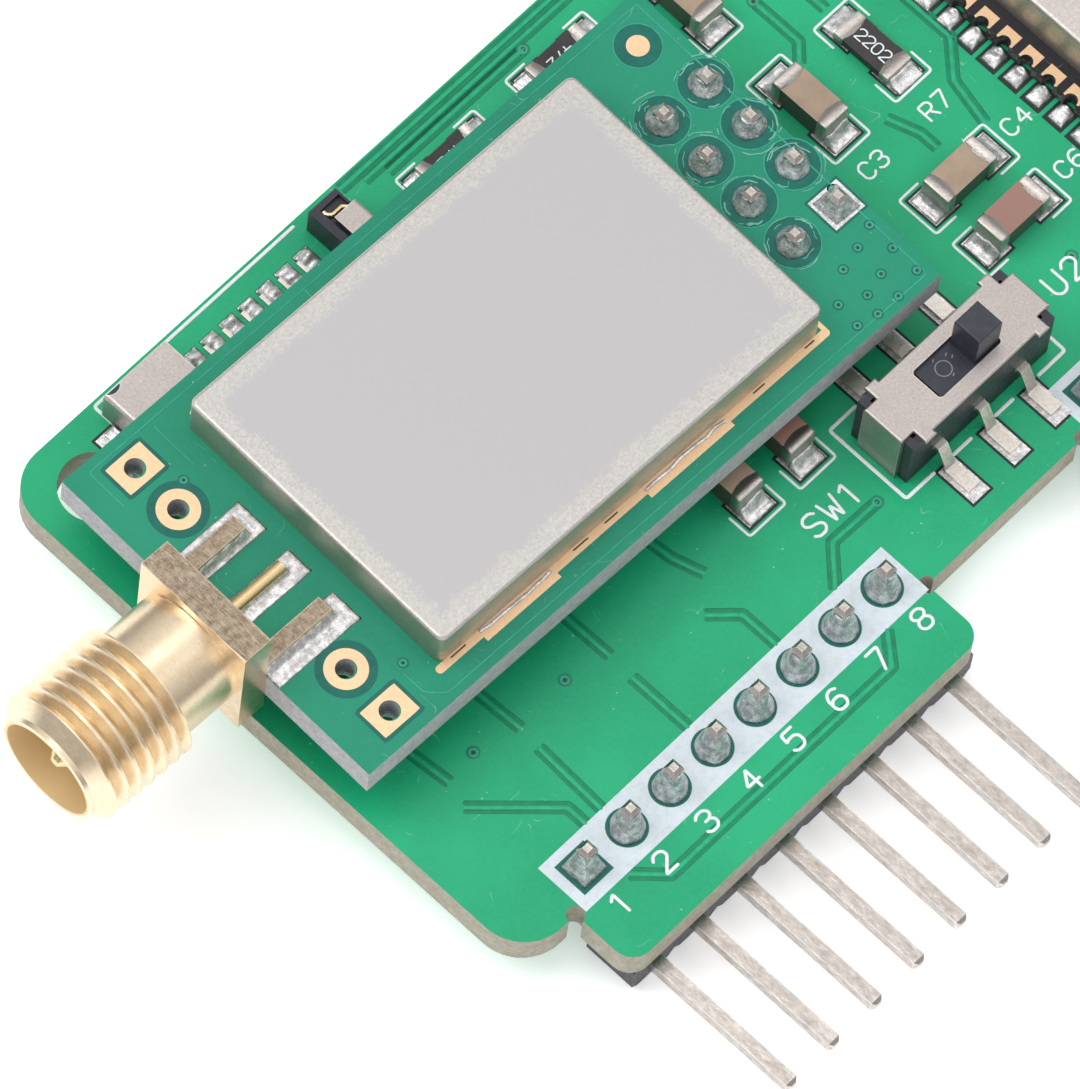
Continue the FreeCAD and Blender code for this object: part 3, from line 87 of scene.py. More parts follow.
def studio():
    mesh = bpy.data.meshes.new("floor")
    s = FLOOR_REACH
    corners = [(x, y, FLOOR_Z) for x, y in ((-s, -s), (s, -s), (s, s), (-s, s))]
    mesh.from_pydata(corners, [], [(0, 1, 2, 3)])
    floor = bpy.data.objects.new("floor", mesh)
    bpy.context.scene.collection.objects.link(floor)
    material = bpy.data.materials.new("floor")
    material.use_nodes = True
    inputs = material.node_tree.nodes["Principled BSDF"].inputs
    inputs["Base Color"].default_value = (0.93, 0.93, 0.93, 1)
    inputs["Roughness"].default_value = 0.9
    inputs["Emission Color"].default_value = (1, 1, 1, 1)
    inputs["Emission Strength"].default_value = FLOOR_GLOW
    mesh.materials.append(material)

    world = bpy.data.worlds.new("studio")
    bpy.context.scene.world = world
    world.use_nodes = True
    # bright overhead, dimmer towards the horizon, so that metal has something dark to reflect
    tree = world.node_tree
    background = tree.nodes["Background"]
    coordinates = tree.nodes.new("ShaderNodeTexCoord")
    split = tree.nodes.new("ShaderNodeSeparateXYZ")
    tree.links.new(coordinates.outputs["Generated"], split.inputs[0])
    ramp = tree.nodes.new("ShaderNodeValToRGB")
    tree.links.new(split.outputs["Z"], ramp.inputs[0])
    stops = ramp.color_ramp.elements
    stops[0].position = 0.0
    stops[0].color = (0.1, 0.1, 0.105, 1)
    stops[1].position = 0.75
    stops[1].color = (1, 1, 1, 1)
    between = stops.new(0.3)
    between.color = (0.6, 0.6, 0.61, 1)
    tree.links.new(ramp.outputs[0], background.inputs[0])
    background.inputs[1].default_value = WORLD_STRENGTH

    middle = Vector(LAMPS_AIM) * MM
    for name, place, size, power in LAMPS:
        light = bpy.data.lights.new(name, "AREA")
        light.shape = "RECTANGLE"
        light.size = size * MM
        light.size_y = size * 0.8 * MM
        light.energy = power
        lamp = bpy.data.objects.new(name, light)
        bpy.context.scene.collection.objects.link(lamp)
        lamp.location = Vector(place) * MM
        lamp.rotation_mode = "QUATERNION"
        lamp.rotation_quaternion = (middle - lamp.location).to_track_quat("-Z", "Y")


studio()

# ---- places

# All in millimetres, from the middle of the mounting hole on the main board's underside.

TOP = 1.6
PITCH = 2.54
# each header's solder node, first pin and number of pins
HEADERS = (("header_8_solder", 1.9, 8), ("header_10_solder", 32.38, 10))
PIN_Y = -25.8
NUMBER_Y = -27.9
RADIO_TURN = math.radians(-1.63)
RADIO_ORIGIN = (29.594, -6.048)
RADIO_TOP = 5.74
SMA_END = -4.05
ANTENNA_AXIS_Z = 6.16
TAIL_X, TAIL_Y, TAIL_STEP, TAILS = 13.65, 0.95, 1.1, 8
SWITCH = (28.15, -21.7)
BUTTONS = ((44.35, -0.2), (52.35, -0.2))
MODULE_EDGE, MODULE_Y, MODULE_TOP, MODULE_STEP = 41.35, -11.83, TOP + 0.8, 1.27
EJECTOR_MARK = (27.47, -21.61, 4.752)


def placed(x, y, turn):
    """A function that takes a local point to the object's frame."""
    c, s = math.cos(turn), math.sin(turn)
    return lambda px, py: (x + c * px - s * py, y + s * px + c * py)


# a place on the radio board, from its first header pin
on_radio = placed(*RADIO_ORIGIN, RADIO_TURN)
ANTENNA = on_radio(-32.08, -3.9)


# ---- materials


def scaled(colour, factor, lift=0.0):
    return tuple(c * factor + lift for c in colour)


class Shader:
    """A small builder for node materials. Coordinates are the object's, in millimetres."""

    def __init__(self, name):
        self.material = bpy.data.materials.new(name)
        self.material.use_nodes = True
        self.tree = self.material.node_tree
        self.nodes = self.tree.nodes
        self.bsdf = self.nodes["Principled BSDF"]
        coordinates = self.nodes.new("ShaderNodeTexCoord")
        scale = self.nodes.new("ShaderNodeVectorMath")
        scale.operation = "SCALE"
        scale.inputs["Scale"].default_value = 1 / MM
        self.link(coordinates.outputs["Object"], scale.inputs[0])
        self.mm = scale.outputs[0]

    def link(self, a, b):
        self.tree.links.new(a, b)

    def put(self, socket, value):
        if isinstance(value, bpy.types.NodeSocket):
            self.link(value, socket)
        elif isinstance(value, (tuple, list)) and len(value) == 3 and socket.type == "RGBA":
            socket.default_value = (*value, 1)
        else:
            socket.default_value = value

    def make(self, kind, **values):
        """A new node with these inputs."""
        node = self.nodes.new("ShaderNode" + kind)
        for name, value in values.items():
            self.put(node.inputs[name.replace("_", " ")], value)
        return node

    def vector(self, operation, a, b):
        node = self.nodes.new("ShaderNodeVectorMath")
        node.operation = operation
        self.put(node.inputs[0], a)
        self.put(node.inputs[1], b)
        return node.outputs["Value"] if operation in ("DOT_PRODUCT", "DISTANCE") else node.outputs[0]

    def noise(self, scale, detail=3, rough=0.55, vector=None):
        node = self.make("TexNoise", Vector=vector or self.mm, Scale=scale, Detail=detail, Roughness=rough)
        return node.outputs["Fac"]

    def voronoi(self, scale):
        return self.make("TexVoronoi", Vector=self.mm, Scale=scale).outputs["Distance"]

    def ramp(self, value, low, high, low_to=0.0, high_to=1.0):
        node = self.make("MapRange", Value=value, From_Min=low, From_Max=high, To_Min=low_to, To_Max=high_to)
        return node.outputs["Result"]

    def mix(self, factor, a, b):
        node = self.nodes.new("ShaderNodeMix")
        node.data_type = "RGBA"
        colours = [s for s in node.inputs if s.type == "RGBA"]
        self.put(node.inputs[0], factor)
        self.put(colours[0], a)
        self.put(colours[1], b)
        return next(s for s in node.outputs if s.type == "RGBA")

    def math(self, operation, a, b=0.0):
        node = self.nodes.new("ShaderNodeMath")
        node.operation = operation
        self.put(node.inputs[0], a)
        self.put(node.inputs[1], b)
        return node.outputs[0]

    def normal_z(self):
        geometry = self.nodes.new("ShaderNodeNewGeometry")
        return self.vector("DOT_PRODUCT", geometry.outputs["Normal"], (0, 0, 1))

    def along(self, direction, offset=0.0):
        """How far a point lies along a direction, in millimetres."""
        return self.math("SUBTRACT", self.vector("DOT_PRODUCT", self.mm, direction), offset)

    def near(self, centre, low, high):
        """1 within low millimetres of a place, 0 beyond high."""
        return self.ramp(self.vector("DISTANCE", self.mm, centre), high, low)

    def bump(self, height, distance, strength=1.0):
        node = self.make("Bump", Strength=strength, Distance=distance * MM, Height=height)
        previous = self.bsdf.inputs["Normal"]
        if previous.is_linked:
            self.link(previous.links[0].from_socket, node.inputs["Normal"])
        self.link(node.outputs[0], previous)

    def painted_edge_light_mask(self):
        """1 on edges and corners, from a bevelled normal; the materials paint their edge highlights and edge shade
        through it.
        """
        bevel = self.make("Bevel", Radius=0.1 * MM)
        bevel.samples = 3
        geometry = self.nodes.new("ShaderNodeNewGeometry")
        alike = self.vector("DOT_PRODUCT", bevel.outputs[0], geometry.outputs["Normal"])
        return self.ramp(alike, 0.98, 0.8)

    def finish(self, **values):
        for name, value in values.items():
            self.put(self.bsdf.inputs[name.replace("_", " ")], value)
        return self.material


def board_material(name, mask, mask_dark, edge, edge_dark):
    """Solder mask on the faces, with dust and fine scratches; milled glass fibre on the edges."""
    s = Shader(name)
    flat = s.ramp(s.math("ABSOLUTE", s.normal_z()), 0.35, 0.6)
    clouds = s.ramp(s.noise(0.13, 3), 0.38, 0.62)
    grain = s.ramp(s.noise(6, 5, 0.75), 0.35, 0.7)
    face = s.mix(clouds, mask, mask_dark)
    face = s.mix(s.math("MULTIPLY", grain, 0.2), face, scaled(mask, 1.3, 0.01))
    dust = s.math("MULTIPLY", s.ramp(s.voronoi(1.9), 0.09, 0.045), s.ramp(s.noise(0.5, 2), 0.5, 0.6))
    face = s.mix(s.math("MULTIPLY", dust, 0.75), face, scaled(mask, 0.6, 0.42))
    hair = s.ramp(s.math("ABSOLUTE", s.math("SUBTRACT", s.noise(0.42, 2, 0.4), 0.5)), 0.0035, 0.0015)
    hair = s.math("MULTIPLY", hair, s.ramp(s.noise(0.8, 2), 0.58, 0.64))
    face = s.mix(s.math("MULTIPLY", hair, 0.45), face, scaled(mask, 0.8, 0.25))
    weave = s.noise(5, 4, 0.75, s.vector("MULTIPLY", s.mm, (1, 1, 5)))
    chips = s.ramp(s.noise(2.2, 5, 0.8), 0.45, 0.62)
    side = s.mix(s.ramp(weave, 0.35, 0.65), edge, edge_dark)
    side = s.mix(s.math("MULTIPLY", chips, 0.4), side, scaled(edge, 0.5, 0.3))
    s.bump(s.mix(flat, s.noise(9, 4, 0.7), s.noise(1.1, 3, 0.6)), 0.035, 0.5)
    s.bump(s.noise(24, 2), 0.004, 0.35)
    rough = s.math("ADD", s.ramp(flat, 0, 1, 0.75, 0.34), s.math("MULTIPLY", s.noise(3, 3), 0.12))
    return s.finish(Base_Color=s.mix(flat, side, face), Roughness=rough, Specular_IOR_Level=0.3)


def mask_tone(name, colour, rough=0.34):
    """Solder mask where it sinks between copper areas, or runs over their edge."""
    s = Shader(name)
    tone = s.mix(s.ramp(s.noise(2.5, 3), 0.35, 0.7), colour, scaled(colour, 0.78))
    s.bump(s.noise(12, 3), 0.01, 0.5)
    return s.finish(Base_Color=tone, Roughness=rough, Specular_IOR_Level=0.3)


def silk_material(name, colour):
    """Printed ink, slightly uneven."""
    s = Shader(name)
    tone = s.mix(s.ramp(s.noise(4, 4, 0.7), 0.45, 0.75), colour, scaled(colour, 0.84))
    s.bump(s.noise(18, 3), 0.012, 0.6)
    return s.finish(Base_Color=tone, Roughness=0.62, Specular_IOR_Level=0.3)


def metal_material(name, colour, dark, rough, speck, painted_edge_light=None, contrast=0.5, bump=0.012, stretch=None):
    """Plated or drawn metal: cloudy tone, fine grain along one direction, and edges painted in another tone: a
    painted highlight where that tone is lighter, painted shade where it is darker.
    """
    s = Shader(name)
    vector = s.vector("MULTIPLY", s.mm, stretch) if stretch else None
    clouds = s.noise(0.7, 4, 0.65)
    grain = s.noise(speck, 4, 0.75, vector)
    tone = s.mix(s.ramp(grain, 0.5 - contrast / 2, 0.5 + contrast / 2), dark, colour)
    tone = s.mix(s.ramp(clouds, 0.4, 0.8, 0, 0.35), tone, dark)
    if painted_edge_light:
        # painted highlight along edges and corners (painted shade on the Wi-Fi can, whose edge colour is near-black)
        tone = s.mix(s.math("MULTIPLY", s.painted_edge_light_mask(), 0.7), tone, painted_edge_light)
    s.bump(grain, bump, 0.6)
    s.bump(s.noise(1.8, 3), bump * 1.5, 0.35)
    rough = s.ramp(grain, 0.3, 0.7, rough + 0.1, rough - 0.06)
    return s.finish(Base_Color=tone, Metallic=1.0, Roughness=rough)


def can_material(name):
    """A shield can: even grey lid, a speckled lighter band along its rim, brushed sides, and edges painted lighter
    as a highlight.
    """
    s = Shader(name)
    c, d = math.cos(RADIO_TURN), math.sin(RADIO_TURN)
    insets = []
    # each axis of the can, its half length and where its middle is along that axis
    for axis, half, middle in (((c, d, 0), 11.0, 15.6), ((-d, c, 0), 7.35, 3.9)):
        from_pin = s.along(axis, axis[0] * RADIO_ORIGIN[0] + axis[1] * RADIO_ORIGIN[1])
        insets.append(s.math("SUBTRACT", half, s.math("ABSOLUTE", s.math("ADD", from_pin, middle))))
    inset = s.math("MINIMUM", *insets)
    fray = s.math("MULTIPLY", s.math("SUBTRACT", s.noise(1.6, 5, 0.8), 0.5), 1.6)
    ragged = s.math("ADD", inset, fray)
    band = s.ramp(ragged, 1.15, 0.8)
    specks = s.noise(7, 5, 0.85)
    lid = (0.475, 0.465, 0.47)
    rim = s.mix(s.ramp(specks, 0.36, 0.68), (0.42, 0.405, 0.385), (0.6, 0.58, 0.555))
    tone = s.mix(band, lid, rim)
    up = s.ramp(s.normal_z(), 0.3, 0.75)
    brushed = s.noise(5, 4, 0.7, s.vector("MULTIPLY", s.mm, (0.6, 0.6, 6)))
    side = s.mix(s.ramp(brushed, 0.35, 0.65), (0.42, 0.39, 0.35), (0.62, 0.58, 0.53))
    tone = s.mix(up, side, tone)
    # painted highlight: edges and corners lighter
    tone = s.mix(s.math("MULTIPLY", s.painted_edge_light_mask(), 0.8), tone, (0.78, 0.75, 0.72))
    s.bump(s.math("MULTIPLY", specks, band), 0.02, 0.6)
    s.bump(s.noise(14, 3), 0.004, 0.4)
    rough = s.math("ADD", s.ramp(band, 0, 1, 0.58, 0.4), s.math("MULTIPLY", specks, 0.08))
    return s.finish(Base_Color=tone, Metallic=s.ramp(band, 0, 1, 0.75, 1.0), Roughness=rough)


def gold_body_material(name):
    """The antenna connector: polished turned gold, brown milled flange and legs, pale bore, and edges painted
    lighter as a highlight.
    """
    s = Shader(name)
    turned = s.noise(5, 4, 0.7, s.vector("MULTIPLY", s.mm, (5, 0.5, 0.5)))
    polished = s.mix(s.ramp(turned, 0.3, 0.7), (0.7, 0.55, 0.36), (0.86, 0.72, 0.53))
    polished = s.mix(s.ramp(s.noise(0.9, 3), 0.5, 0.75, 0, 0.5), polished, (0.88, 0.77, 0.62))
    mottle = s.noise(2.6, 6, 0.85)
    milled = s.mix(s.ramp(mottle, 0.4, 0.6), (0.2, 0.15, 0.1), (0.42, 0.34, 0.26))
    marks = s.noise(4, 3, 0.6, s.vector("MULTIPLY", s.mm, (9, 0.5, 1)))
    milled = s.mix(s.ramp(marks, 0.5, 0.7, 0, 0.55), milled, (0.74, 0.62, 0.46))
    behind = s.ramp(s.along((1, 0, 0), SMA_END), -0.02, 0.02)
    faces = s.ramp(s.math("ABSOLUTE", s.normal_z()), 0.6, 0.75)
    raw = s.math("MULTIPLY", faces, behind)
    front = s.math("MULTIPLY", s.ramp(s.along((1, 0, 0), SMA_END), 0.14, 0.1), behind)
    tone = s.mix(raw, polished, milled)
    tone = s.mix(s.math("MULTIPLY", front, s.math("SUBTRACT", 1.0, faces)), tone, (0.84, 0.62, 0.4))
    c, d = math.cos(RADIO_TURN), math.sin(RADIO_TURN)
    across = s.along((-d, c, 0), -d * ANTENNA[0] + c * ANTENNA[1])
    rise = s.along((0, 0, 1), ANTENNA_AXIS_Z)
    squares = s.math("ADD", s.math("MULTIPLY", across, across), s.math("MULTIPLY", rise, rise))
    radius = s.math("SQRT", squares)
    outside = s.ramp(s.along((1, 0, 0), SMA_END), -0.5, -1.0)
    bore = s.math("MULTIPLY", s.ramp(radius, 2.42, 2.34), outside)
    tone = s.mix(bore, tone, (0.74, 0.57, 0.31))
    # painted highlight: edges and corners pale gold
    tone = s.mix(s.math("MULTIPLY", s.painted_edge_light_mask(), 0.5), tone, (0.95, 0.86, 0.68))
    s.bump(s.math("MULTIPLY", mottle, raw), 0.05, 0.7)
    s.bump(s.math("MULTIPLY", marks, raw), 0.05, 0.6)
    s.bump(turned, 0.008, 0.4)
    rough = s.math("ADD", s.ramp(raw, 0, 1, 0.24, 0.42), s.math("MULTIPLY", s.noise(3, 3), 0.1))
    rough = s.math("ADD", rough, s.math("MULTIPLY", bore, 0.4))
    metal = s.math("SUBTRACT", 1.0, s.math("MULTIPLY", bore, 0.55))
    return s.finish(Base_Color=tone, Metallic=metal, Roughness=rough)


def solder_material(name, colour, dark, rough, lump=2.6, depth=0.12):
    """Frosted solder, darker in the hollows of its lumps, with painted highlights: near-white glints on the
    crystals.
    """
    s = Shader(name)
    lumps = s.noise(lump, 4, 0.7)
    crystals_and_glints = s.noise(11, 4, 0.8)
    tone = s.mix(s.ramp(lumps, 0.4, 0.62), dark, colour)
    # painted highlight: near-white glints where the crystal noise peaks
    tone = s.mix(s.ramp(crystals_and_glints, 0.55, 0.75, 0, 0.4), tone, (0.95, 0.94, 0.93))
    s.bump(lumps, depth, 0.7)
    s.bump(crystals_and_glints, 0.02, 0.6)
    rough = s.ramp(crystals_and_glints, 0.35, 0.7, rough + 0.12, rough - 0.1)
    return s.finish(Base_Color=tone, Metallic=0.7, Roughness=rough)


def plastic_material(name, colour, rough):
    """Moulded plastic: fine grain, faint specks, and edges painted lighter as a highlight."""
    s = Shader(name)
    tone = s.mix(s.ramp(s.noise(1.6, 4, 0.65), 0.4, 0.75), colour, scaled(colour, 1.5, 0.004))
    tone = s.mix(s.ramp(s.noise(7, 5, 0.8), 0.6, 0.75, 0, 0.4), tone, scaled(colour, 2, 0.05))
    # painted highlight: edges and corners lighter
    tone = s.mix(s.math("MULTIPLY", s.painted_edge_light_mask(), 0.5), tone, scaled(colour, 2.2, 0.02))
    s.bump(s.noise(9, 4, 0.7), 0.01, 0.7)
    rough = s.ramp(s.noise(5, 3), 0.3, 0.7, rough - 0.06, rough + 0.1)
    return s.finish(Base_Color=tone, Roughness=rough)


def ceramic_material(name, colour, red, side):
    """Capacitor ceramic: tan tops, two of them redder, and glossy sides painted dark as shade."""
    s = Shader(name)
    tone = s.mix(s.ramp(s.noise(1.1, 3), 0.35, 0.7), colour, scaled(colour, 0.8))
    for x, y in ((35.75, -18.15), (21.65, -17.85)):
        warm = s.near((x, y, 2.9), 1.6, 1.9)
        tone = s.mix(warm, tone, red)
    tone = s.mix(s.ramp(s.noise(14, 3, 0.8), 0.55, 0.8, 0, 0.3), tone, scaled(colour, 1.35))
    # painted shade: the sides darker than the tops
    tone = s.mix(s.ramp(s.normal_z(), 0.75, 0.35), tone, side)
    s.bump(s.noise(12, 4, 0.75), 0.01, 0.7)
    return s.finish(Base_Color=tone, Roughness=0.36)


MASK = board_material(
    "mask_green", (0.010, 0.36, 0.165), (0.007, 0.3, 0.14), (0.42, 0.4, 0.33), (0.24, 0.22, 0.16))
MASK_RADIO = board_material(
    "mask_teal", (0.008, 0.235, 0.135), (0.006, 0.2, 0.12), (0.46, 0.46, 0.48), (0.2, 0.22, 0.23))
MASK_BLACK = board_material(
    "mask_black", (0.014, 0.014, 0.018), (0.01, 0.01, 0.013), (0.03, 0.03, 0.03), (0.012, 0.012, 0.012))
GAP = mask_tone("mask_gap", (0.006, 0.215, 0.105))
RIDGE = mask_tone("mask_ridge", (0.014, 0.385, 0.18))
GAP_RADIO = mask_tone("mask_gap_teal", (0.004, 0.13, 0.1))
RIDGE_RADIO = mask_tone("mask_ridge_teal", (0.03, 0.34, 0.22))
FLUX = mask_tone("flux", (0.16, 0.42, 0.33), 0.25)
GAP_DARK = mask_tone("mask_rim", (0.012, 0.03, 0.026))
SILK = silk_material("silk", (0.72, 0.78, 0.78))
SILK_PANEL = silk_material("silk_panel", (0.6, 0.67, 0.71))
CAN = can_material("radio_can_steel")
# The last colour given to metal_material is painted on edges and corners: a painted highlight on the pins' tips and
# edges, the terminals, gold and covers; painted shade, near-black, on the Wi-Fi can.
WIFI_CAN = metal_material(
    "wifi_can_steel", (0.66, 0.61, 0.58), (0.46, 0.42, 0.4), 0.46, 7, (0.12, 0.115, 0.12), bump=0.015)
STEEL_SATIN = metal_material(
    "cover_steel", (0.57, 0.52, 0.5), (0.36, 0.32, 0.3), 0.4, 9, (0.8, 0.74, 0.7), bump=0.014)
NICKEL = metal_material(
    "pin_nickel", (0.68, 0.63, 0.59), (0.34, 0.3, 0.27), 0.28, 5, (0.97, 0.95, 0.93), 0.4, 0.015, (1, 0.4, 1))
TERMINAL = metal_material(
    "terminal_tin", (0.8, 0.75, 0.7), (0.5, 0.45, 0.4), 0.32, 6, (0.92, 0.88, 0.84))
SPRING = metal_material("spring_steel", (0.66, 0.65, 0.64), (0.4, 0.4, 0.4), 0.25, 8)
GOLD = metal_material(
    "gold_plate", (0.86, 0.68, 0.4), (0.66, 0.47, 0.24), 0.24, 5, (0.95, 0.82, 0.58), 0.6, 0.006)
GOLD_BODY = gold_body_material("connector_gold")
GOLD_PAD = metal_material("gold_pad", (0.86, 0.62, 0.4), (0.74, 0.5, 0.3), 0.45, 9, None, 0.6, 0.006)
SOLDER = solder_material("solder", (0.7, 0.71, 0.72), (0.3, 0.31, 0.32), 0.28)
SOLDER_PAD = solder_material("solder_pad", (0.8, 0.79, 0.79), (0.44, 0.43, 0.43), 0.3, 3.4, 0.06)
TERMINATION = metal_material(
    "termination", (0.7, 0.64, 0.6), (0.4, 0.36, 0.34), 0.42, 10, (0.7, 0.66, 0.62), bump=0.03)
BLACK = plastic_material("plastic_black", (0.013, 0.014, 0.022), 0.42)
LEVER = plastic_material("lever_plastic", (0.019, 0.021, 0.031), 0.4)
LEVER_MARK = plastic_material("lever_mark", (0.12, 0.13, 0.16), 0.5)
BLACK_MATTE = plastic_material("resistor_black", (0.02, 0.016, 0.018), 0.5)
CHIP = plastic_material("chip_black", (0.02, 0.02, 0.022), 0.6)
WHITE = plastic_material("plastic_white", (0.75, 0.74, 0.7), 0.45)
PTFE = plastic_material("insulator", (0.8, 0.72, 0.52), 0.4)
CERAMIC = ceramic_material("ceramic_tan", (0.34, 0.25, 0.175), (0.27, 0.145, 0.115), (0.06, 0.055, 0.045))
# painted shade, near-black, for the vias' holes and the slots by the radio can
HOLE_SHADE = plastic_material("hole_shade", (0.02, 0.03, 0.025), 0.7)

# each material, with the nodes that have it
LOOKS = (
    (MASK, "main_board"), (MASK_RADIO, "radio_board"), (MASK_BLACK, "wifi_board"),
    (BLACK, "header_8_housing header_10_housing radio_header_housing"),
    (BLACK, "sd_base sd_slider switch_housing button_cases"),
    (NICKEL, "header_8_pins header_10_pins radio_header_pins"),
    (SOLDER, "header_8_solder header_10_solder radio_header_solder"),
    (SOLDER_PAD, "sma_solder sd_solder wifi_solder chip_solder button_terminals"),
    (CAN, "radio_can"), (WIFI_CAN, "wifi_can"), (CERAMIC, "radio_passives capacitor_bodies"),
    (CHIP, "radio_chip radio_amplifier wifi_chip wifi_flash"), (GOLD_BODY, "sma_body"),
    (STEEL_SATIN, "radio_crystal sd_shell switch_cover wifi_crystal button_covers"),
    (GOLD, "sma_center_contact sd_cam_rod switch_bridges"), (PTFE, "sma_insulator"),
    (TERMINAL, "sd_contacts switch_terminals"), (SPRING, "sd_spring boot_dome reset_dome"),
    (LEVER, "switch_lever"), (TERMINATION, "capacitor_end_caps resistor_end_caps"),
    (BLACK_MATTE, "resistor_bodies"), (WHITE, "boot_plunger reset_plunger"),
)
for material, names in LOOKS:
    for name in names.split():
        mesh = NODES[name].data
        mesh.materials.clear()
        mesh.materials.append(material)

# the rounding of the nodes' edges
BEVELS = (
    (0.03, "wifi_board radio_header_pins resistor_bodies"),
    (0.04, "header_8_pins header_10_pins switch_cover sma_body main_board radio_board"),
    (0.04, "switch_terminals sd_base wifi_can"),
    (0.05, "capacitor_bodies switch_housing button_covers"),
    (0.06, "sd_shell header_8_housing header_10_housing"),
    (0.08, "switch_lever"),
)
BEVEL_ANGLE = math.radians(40)
for width, names in BEVELS:
    for name in names.split():
        bevel = NODES[name].modifiers.new("edges", "BEVEL")
        bevel.width = width * MM
        bevel.segments = 2
        bevel.limit_method = "ANGLE"
        bevel.angle_limit = BEVEL_ANGLE
        bevel.use_clamp_overlap = True


# ---- mesh helpers


def add_piece(name, bm, material, body="board", smooth=True):
    mesh = bpy.data.meshes.new(name)
    bmesh.ops.recalc_face_normals(bm, faces=bm.faces)
    bm.to_mesh(mesh)
    bm.free()
    mesh.materials.append(material)
    for polygon in mesh.polygons:
        polygon.use_smooth = smooth
    obj = bpy.data.objects.new(name, mesh)
    bpy.context.scene.collection.objects.link(obj)
    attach(obj, body)
    return obj


def vertex(bm, x, y, z):
    return bm.verts.new((x * MM, y * MM, z * MM))


SLAB = 0.02  # how deep the thin printed pieces go below their top


def flat_fill(bm, points, z):
    """A thin closed slab with its top at height z, through points that run anticlockwise."""
    top = [vertex(bm, x, y, z) for x, y in points]
    bottom = [vertex(bm, x, y, z - SLAB) for x, y in points]
    bm.faces.new(top)
    bm.faces.new(list(reversed(bottom)))
    for i in range(len(top)):
        j = (i + 1) % len(top)
        bm.faces.new((top[j], top[i], bottom[i], bottom[j]))


def flat_ring(bm, cx, cy, outer, inner, z, steps=40, square=None):
    """A thin closed ring; square gives its outer edge as a rectangle: two half sizes and a turn."""
    loops = [[], [], [], []]
    for i in range(steps):
        a = 2 * math.pi * i / steps
        dx, dy = math.cos(a), math.sin(a)
        near = (cx + inner * dx, cy + inner * dy)
        if square:
            hx, hy, turn = square
            reach = min(hx / max(abs(dx), 1e-6), hy / max(abs(dy), 1e-6))
            spot = placed(cx, cy, turn)(dx * reach, dy * reach)
        else:
            spot = (cx + outer * dx, cy + outer * dy)
        # round the ring's section: inner top, outer top, outer bottom, inner bottom
        for loop, place, height in zip(loops, (near, spot, spot, near), (z, z, z - SLAB, z - SLAB)):
            loop.append(vertex(bm, *place, height))
    for a, b in zip(loops, loops[1:] + loops[:1]):
        for i in range(steps):
            j = (i + 1) % steps
            bm.faces.new((a[i], b[i], b[j], a[j]))


def circle(cx, cy, radius, steps):
    turns = [2 * math.pi * k / steps for k in range(steps)]
    return [(cx + radius * math.cos(a), cy + radius * math.sin(a)) for a in turns]


def rectangle(hx, hy):
    return [(-hx, -hy), (hx, -hy), (hx, hy), (-hx, hy)]


def disc(bm, cx, cy, radius, z, steps=20):
    flat_fill(bm, circle(cx, cy, radius, steps), z)


def rounded_path(path, radius):
    """The path with its corners cut into short curves."""
    out = [path[0]]
    for before, corner, after in zip(path, path[1:], path[2:]):
        a = Vector(before) - Vector(corner)
        b = Vector(after) - Vector(corner)
        reach = min(radius, a.length * 0.45, b.length * 0.45)
        p = Vector(corner) + a.normalized() * reach
        q = Vector(corner) + b.normalized() * reach
        for t in (0, 0.35, 0.65, 1):
            point = p * (1 - t) ** 2 + Vector(corner) * 2 * t * (1 - t) + q * t * t
            out.append((point.x, point.y))
    out.append(path[-1])
    return out


def sideways(path, closed=False):
    """For each point of a path, the mitred vector that moves it one unit to its left."""
    vectors = []
    count = len(path)
    for i in range(count):
        normals = []
        for j in (i - 1, i):
            if not closed and not 0 <= j < count - 1:
                continue
            ax, ay = path[j % count]
            bx, by = path[(j + 1) % count]
            length = math.hypot(bx - ax, by - ay)
            normals.append((-(by - ay) / length, (bx - ax) / length))
        nx = sum(n[0] for n in normals) / len(normals)
        ny = sum(n[1] for n in normals) / len(normals)
        size = max(nx * nx + ny * ny, 0.3)
        vectors.append((nx / size, ny / size))
    return vectors


def ink(bm, path, width, z, rise=0.016, closed=False, corner=0.0):
    """A printed or raised line: low rounded profile, round ends, mitred corners."""
    if corner:
        path = rounded_path(path, corner)
    half = width / 2
    profile = [(-1, 0), (-0.75, 0.8), (0, 1), (0.75, 0.8), (1, 0)]
    side = sideways(path, closed)
    rows = []

    def row(x, y, nx, ny, scale):
        height = rise * min(1, scale * 1.3)
        return [vertex(bm, x + nx * half * p * scale, y + ny * half * p * scale, z + height * h)
                for p, h in profile]

    def cap(end, inner):
        dx, dy = end[0] - inner[0], end[1] - inner[1]
        reach = half / math.hypot(dx, dy)
        return [(end[0] + dx * reach * math.sin(a), end[1] + dy * reach * math.sin(a), math.cos(a))
                for a in (math.radians(40), math.radians(72))]

    if not closed:
        rows += [row(x, y, *side[0], scale) for x, y, scale in reversed(cap(path[0], path[1]))]
    rows += [row(x, y, nx, ny, 1) for (x, y), (nx, ny) in zip(path, side)]
    if not closed:
        rows += [row(x, y, *side[-1], scale) for x, y, scale in cap(path[-1], path[-2])]
    else:
        rows.append(rows[0])
    for low, high in zip(rows, rows[1:]):
        for k in range(len(profile)):
            m = (k + 1) % len(profile)
            bm.faces.new((low[k], low[m], high[m], high[k]))
    if not closed:
        bm.faces.new(rows[0])
        bm.faces.new(list(reversed(rows[-1])))


def shifted(path, distance):
    """The path moved to its left by a distance."""
    return [(x + nx * distance, y + ny * distance)
            for (x, y), (nx, ny) in zip(path, sideways(path))]


